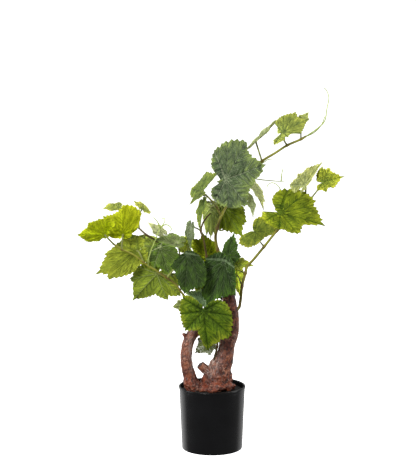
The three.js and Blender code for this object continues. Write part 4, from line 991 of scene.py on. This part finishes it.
def make_shoot(name):
    """A shoot with its branches, its tendrils and the stalks of its leaves, as one piece."""
    shoot = SHOOTS[name]
    parts = []
    feet = [leant(name, leaf[2]) for leaf in LEAVES if leaf[1] == name]

    def add(line, radius, sides, kind, swell):
        body, faces, ring, angle = tube(line, radius, sides)
        run = np.concatenate([[0], np.cumsum(np.linalg.norm(np.diff(line, axis=0), axis=1))])
        place = np.stack([angle, run[ring], np.full(len(ring), kind)], 1)
        more = np.stack([swell[ring], run[ring] / run[-1], np.zeros(len(ring))], 1)
        parts.append((body, faces, place, more))

    def near_feet(line, reach):
        away = np.min([np.linalg.norm(line - f, axis=1) for f in feet], axis=0)
        return np.exp(-(away / reach) ** 2)

    def grown(points, first, last, straight):
        points = [leant(name, p) for p in points]
        if straight:
            fine = np.concatenate([[points[0]], curve_points(points[1:])])
        else:
            fine = curve_points(points)
        line, run = spaced(fine, 1.6)
        swell = near_feet(line, 3.2)
        radius = first + (last - first) * run / run[-1]
        radius = radius * (1 + 0.32 * swell + 0.05 * layered(line / 6.0, 2, 3))
        radius[-3:] *= np.array([0.95, 0.8, 0.5])
        add(line, radius, 14, 0, swell)

    grown(shoot["route"], *shoot["radius"], True)
    for radius, points in shoot.get("branches", []):
        grown(points, *radius, False)
    for points in shoot.get("tendrils", []):
        line, run = spaced(curve_points([leant(name, p) for p in points]), 1.3)
        share = run / run[-1]
        radius = TENDRIL_RADIUS * (1.0 - 0.45 * share) * (1 + 0.08 * layered(line / 4.0, 2, 8))
        radius[-2:] *= np.array([0.8, 0.45])
        add(line, radius, 10, 2, np.exp(-(run / 3.0) ** 2))
    for leaf in LEAVES:
        if leaf[1] != name:
            continue
        line, radius = stalk_line(leaf)
        share = np.linspace(0, 1, len(line))
        size = radius * (1.0 + 0.35 * np.exp(-(share / 0.07) ** 2) + 0.18 * smooth_step(share, 0.85, 1))
        add(line, size, 10, 1, np.exp(-(share / 0.12) ** 2))
    verts, faces = merged([part[:2] for part in parts])
    places = {"stem": np.concatenate([part[2] for part in parts]),
              "stem_more": np.concatenate([part[3] for part in parts])}
    piece(name + "_stem", name, verts, faces, STEM[shoot["slot"]], places)


# leaves

def one_side(middle, values, right):
    """The middle lobe's value and those of the three lobes on one side of it."""
    return (middle, *(values[3:] if right else values[:3]))


def lobe_angles(length, own):
    """Angles of the middle lobe and of the three lobes on the left and on the right."""
    usual = SMALL_LOBE_ANGLES * 2 if length < SMALL_LEAF else LOBE_ANGLES[1:] * 2
    return [one_side(0, own or usual, right) for right in (False, True)]


def reach(sizes, angles, edge, degrees, seed):
    """Smooth outline: reach from the stalk as a share of the length, at each angle."""
    if edge:
        return np.interp(degrees, *np.array(edge).T)
    out = np.full(len(degrees), 0.2)
    for right in (False, True):
        for i, (size, at) in enumerate(zip(one_side(1.0, sizes, right), angles[right])):
            uneven = 1 if i == 0 else 1 + 0.04 * grit(seed + i * 3 + (1 if right else 0))
            away = np.abs(np.abs(degrees) - at) / 28
            here = size * uneven * (1 - 0.3 * away ** 0.6)
            out = np.where(((degrees < 0) == right) & (away < 1.6), np.maximum(out, here), out)
    return out


def off_lobe(turn, right, angles):
    """Degrees from each angle to the nearest lobe of its own side."""
    sides = [np.min([np.abs(turn - at) for at in angles[k]], axis=0) for k in (0, 1)]
    return np.where(right, sides[1], sides[0])


def toothed_margin(teeth, deep, seed):
    """Angles round the margin, four to a tooth, and how deep the margin is cut at each.

    A tooth's tip stands at the end of the middle lobe.
    """
    size = MARGIN_END / teeth
    half = []
    for k in range(teeth):
        start = MARGIN_END * k / teeth
        half += [start + size * (q + (0.06 * grit(seed + k * 7) if q else 0)) for q in TOOTH_STEPS]
    half = np.array(half + [MARGIN_END])
    phase = np.concatenate([np.tile(TOOTH_STEPS, teeth), [0.0]])
    cut = np.interp(phase, [*TOOTH_STEPS, 1.0], [*TOOTH_CUTS, 0])
    uneven = np.array([1 + 0.45 * grit(seed * 3 + (i // 4) * 11) for i in range(len(cut))])
    cut = cut * uneven * deep
    return np.concatenate([-half[::-1], half[1:]]), np.concatenate([cut[::-1], cut[1:]])


def eased(outline):
    """The outline with the corners between its lobes filled a little."""
    soft = outline.copy()
    for _ in range(2):
        soft[1:-1] = (soft[:-2] + 2 * soft[1:-1] + soft[2:]) / 4
    return np.maximum(soft, outline)


def flat_blade(rings, degrees, outline, cut):
    """Points of the flat blade as shares of its length, and each one's share of the way out.

    After the rings come the centre and the points of the notch.
    """
    share = (np.arange(1, rings + 1) / rings) ** 0.92
    rays = outline[None] * share[:, None] * (1 - cut[None] * (share ** 7)[:, None])
    turn = np.radians(degrees)[None]
    plain = np.stack([rays * np.cos(turn), rays * np.sin(turn)], 2).reshape(-1, 2)
    steps = np.array(NOTCH_STEPS)
    notch = np.stack([-NOTCH_REACH * steps, np.zeros(len(steps))], 1)
    rim = np.concatenate([np.repeat(share, len(degrees)), [0], steps])
    return np.concatenate([plain, [[0, 0]], notch]), rim


def blade_faces(rings, columns):
    """Faces of one side of a blade, with the two sides of the notch behind the stalk."""
    centre = rings * columns
    faces = []
    for i in range(rings - 1):
        for j in range(columns - 1):
            a = i * columns + j
            faces.append((a, a + columns, a + columns + 1, a + 1))
    faces += [(centre, j, j + 1) for j in range(columns - 1)]
    for column, flip in ((0, True), (columns - 1, False)):
        chain = [centre] + [i * columns + column for i in range(rings)]
        done, last = 0, centre
        for k, step in enumerate(NOTCH_STEPS):
            pivot, end = centre + 1 + k, round(rings * step)
            corners = [(pivot, a, b) for a, b in zip(chain[done:end], chain[done + 1:end + 1])]
            if done:
                corners.append((last, chain[done], pivot))
            faces += [(a, c, b) if flip else (a, b, c) for a, b, c in corners]
            done, last = end, pivot
    return faces


def blade_lift(u, v, length, angles, form, seed):
    """Height of the blade over its plane: fold, droop, a pleat at each main vein and waves."""
    fold, droop, wave = form
    out = np.hypot(u, v) / length
    turn = np.degrees(np.abs(np.arctan2(v, u)))
    pleat = 0.035 * length * out * -np.cos(math.pi * np.minimum(off_lobe(turn, v < 0, angles), 28) / 28)
    rippling = wave * length * out ** 2 * np.sin(3 * np.radians(turn) + seed + np.where(v < 0, 2, 0))
    return fold * np.abs(v) - droop * length * out ** 2 + pleat + rippling


def with_relief(lift, plain, spin, radial, off, rim, length, seed):
    """The lift with sunk veins, cloth raised between them, a ruffled margin and crumples.

    off: angle to the nearest main vein.
    """
    along, beside = radial * np.cos(off), radial * np.sin(off)
    rib = np.abs(np.sin(math.pi * (along - SIDE_VEIN_SLANT * beside) / SIDE_VEIN_STEP + 0.5 * math.pi))
    quilt = 0.015 * length * rib ** 0.8 * smooth_step(beside, 0.0, 0.07) * smooth_step(radial, 0.03, 0.2)
    groove = -0.009 * length * np.exp(-(beside / 0.018) ** 2) * smooth_step(radial, 0.0, 0.1)
    ruffle = 0.012 * length * rim ** 3 * np.sin(np.radians(spin) * 11 + seed * 2 + np.sign(plain[:, 1]))
    spot = np.stack([plain[:, 0] * 4, plain[:, 1] * 4, np.full(len(plain), seed)], 1)
    crumple = 0.013 * length * layered(spot, 2, 7) * rim
    return lift + quilt + groove + ruffle + crumple


def thickened(middle, faces, rim, margin):
    """Closed blade round its middle surface, thinner at the margin."""
    normals = np.zeros_like(middle)
    for face in faces:
        a, b, c = middle[face[0]], middle[face[1]], middle[face[2]]
        n = np.cross(b - a, c - a)
        for i in face:
            normals[i] += n
    normals /= np.maximum(np.linalg.norm(normals, axis=1), 1e-9)[:, None]
    half_blade = BLADE / 2 * (1 - 0.35 * smooth_step(rim, 0.9, 1.0))[:, None]
    count = len(middle)
    verts = np.concatenate([middle + normals * half_blade, middle - normals * half_blade])
    shell = faces + [tuple(i + count for i in reversed(face)) for face in faces]
    shell += [(a, a + count, b + count, b) for a, b in zip(margin, margin[1:] + margin[:1])]
    return verts, shell


def blade_places(name, plain, spin, radial, rim, angles, seed):
    """What the material needs at each vertex, for the upper face and then the lower one.

    The blade's own lobes are moved to the usual angles, so that one material suits all leaves.
    """
    count = len(plain)
    right = plain[:, 1] < 0
    turned_to = [np.interp(spin, [*own, 180], [*LOBE_ANGLES, 180]) for own in angles]
    canon = np.radians(np.where(right, turned_to[1], turned_to[0]))
    place = np.stack([radial * np.cos(canon), np.where(right, -1, 1) * radial * np.sin(canon),
                      np.full(count, seed * 0.37)], 1)
    # brightness: partly the leaf's own tone, partly painted light; streaks: painted sheen
    tone_and_painted_light, pale, warm, painted_sheen = LOOKS.get(name, (1 + 0.15 * grit(seed * 5 + 1), 0, 1, 0))
    edges = [np.stack([rim, np.full(count, upper), np.full(count, pale)], 1) for upper in (1, 0)]
    look = np.tile([tone_and_painted_light, warm, painted_sheen], (2 * count, 1))
    return {"leaf": np.concatenate([place, place]), "leaf_look": look, "leaf_edge": np.concatenate(edges)}


def make_leaf(leaf, seed):
    name = leaf[0]
    wide, fold, droop, wave, colour = leaf[6:11]
    lobes, own_angles, edge = leaf[11:] + (USUAL_LOBES, None, None)[len(leaf) - 11:]
    base, along, up, side, length = leaf_frame(leaf)
    angles = lobe_angles(length, own_angles)
    teeth, rings, deep = (22, 22, 0.06) if length >= SMALL_LEAF else (15, 14, 0.08)
    degrees, cut = toothed_margin(teeth, deep, seed)
    outline = eased(reach(lobes, angles, edge, degrees, seed))
    plain, rim = flat_blade(rings, degrees, outline, cut)
    columns = len(degrees)
    u = length * plain[:, 0]
    v = length * plain[:, 1] * wide
    spin = np.degrees(np.abs(np.arctan2(plain[:, 1], plain[:, 0])))
    radial = np.hypot(plain[:, 0], plain[:, 1])
    off = np.radians(off_lobe(spin, v < 0, angles))
    lift = blade_lift(u, v, length, angles, (fold, droop, wave), seed)
    lift = with_relief(lift, plain, spin, radial, off, rim, length, seed)
    middle = base + np.outer(u, along) + np.outer(v, side) + np.outer(lift, up)
    margin = [*range((rings - 1) * columns, rings * columns), len(plain) - 1]
    verts, shell = thickened(middle, blade_faces(rings, columns), rim, margin)
    places = blade_places(name, plain, spin, radial, rim, angles, seed)
    piece(name + "_blade", name, verts, shell, LEAF[colour], places)


# the whole plant

# colours of a stem, young and old
STEM = {
    "shoot_stem": stem_material("stem_olive", "#90902a", "#4c3814"),
    "shoot_stem_dark": stem_material("stem_brown", "#56480f", "#33200b"),
}
# heart, middle, margin and vein of the upper face, the underside and its veins,
# then how strongly each kind of vein shows, and the gloss
LEAF = {
    "blue": leaf_material("leaf_blue", "#3a4d32", "#4a5d38", "#7c8e44", "#a8b28c", "#6f8048", "#4c6034",
                          (0.5, 0.45, 0.25), 0.2),
    "green": leaf_material("leaf_green", "#3f5c02", "#517008", "#82941c", "#244300", "#627a18", "#a3ad6e",
                           (0.55, 0.14, 0.12), 0.12),
    "lime": leaf_material("leaf_lime", "#4c6c00", "#809200", "#acb61e", "#4a6800", "#8c9c02", "#556a00",
                          (0.5, 0.4, 0.15), 0.1),
    "dark": leaf_material("leaf_dark", "#1c3006", "#2b430b", "#42600f", "#8c9e74", "#466514", "#33500f",
                          (0.45, 0.3, 0.15), 0.14),
    "olive": leaf_material("leaf_olive", "#3c4500", "#555f00", "#7c8610", "#1c2300", "#5f6900", "#262f00",
                           (0.6, 0.5, 0.1), 0.1),
}

make_pot()
make_fill()
make_trunk()
for shoot_name in SHOOTS:
    make_shoot(shoot_name)
for number, leaf_row in enumerate(LEAVES):
    make_leaf(leaf_row, number * 1.7 + 0.4)

# floor, light and camera

def stage():
    """White floor and even light round the plant, as in the photograph."""
    g = Graph("floor")
    spot = g.spot()
    faint = g.speckle(spot, 3.0, 2.0)
    colour = g.mix(faint, "#f4f4f3", "#f8f8f7")
    g.finish(colour, 0.9, g.bump(faint, 0.0001, 0.1), 0.1)
    g.shader.inputs["Emission Color"].default_value = (1, 1, 1, 1)
    g.shader.inputs["Emission Strength"].default_value = 1.0
    mesh = bpy.data.meshes.new("floor")
    corners = [(x * FLOOR_HALF, y * FLOOR_HALF, 0) for x, y in ((-1, -1), (1, -1), (1, 1), (-1, 1))]
    mesh.from_pydata(corners, [], [(0, 1, 2, 3)])
    mesh.materials.append(g.material)
    floor = bpy.data.objects.new("floor", mesh)
    bpy.context.scene.collection.objects.link(floor)
    floor.visible_diffuse = False
    floor.visible_glossy = False
    floor.visible_shadow = False
    world = bpy.data.worlds.new("studio")
    world.use_nodes = True
    world.node_tree.nodes["Background"].inputs[0].default_value = (1, 1, 1, 1)
    world.node_tree.nodes["Background"].inputs[1].default_value = 0.4
    bpy.context.scene.world = world
    bpy.context.scene.view_settings.view_transform = "Standard"


def soft_light(name, place, target, width, height, power, only_shine=False):
    """Area light. only_shine: it is seen in glossy surfaces and lights nothing else."""
    lamp = bpy.data.lights.new(name, "AREA")
    lamp.shape = "RECTANGLE"
    lamp.size, lamp.size_y, lamp.energy = width, height, power
    held = bpy.data.objects.new(name, lamp)
    bpy.context.scene.collection.objects.link(held)
    held.visible_camera = False
    held.visible_diffuse = not only_shine
    held.location = place
    held.rotation_euler = (Vector(target) - Vector(place)).to_track_quat("-Z", "Y").to_euler()


stage()
soft_light("key", (-1.1, -1.9, 1.5), (0, 0, 0.38), 0.6, 0.6, 54)
soft_light("left", (-1.9, -0.1, 0.8), (0, 0, 0.3), 0.5, 1.8, 18)
soft_light("right", (1.9, -0.2, 0.8), (0, 0, 0.3), 0.5, 1.8, 18)
soft_light("back", (0.3, 1.5, 1.8), (0, 0, 0.4), 1.4, 0.8, 14)
soft_light("back_left", (-1.25, 1.3, -0.1), (0, 0, 0), 1.5, 1.4, 8, True)
soft_light("back_right", (1.25, 1.3, -0.1), (0, 0, 0), 1.5, 1.4, 4, True)

lens = bpy.data.cameras.new("camera")
lens.sensor_width = 36
lens.lens = CAMERA_LENS
lens.clip_end = 200
camera = bpy.data.objects.new("camera", lens)
bpy.context.scene.collection.objects.link(camera)
camera.location = tuple(EYE * MM)
camera.rotation_euler = (math.radians(90 - CAMERA_PITCH), 0, 0)
bpy.context.scene.camera = camera
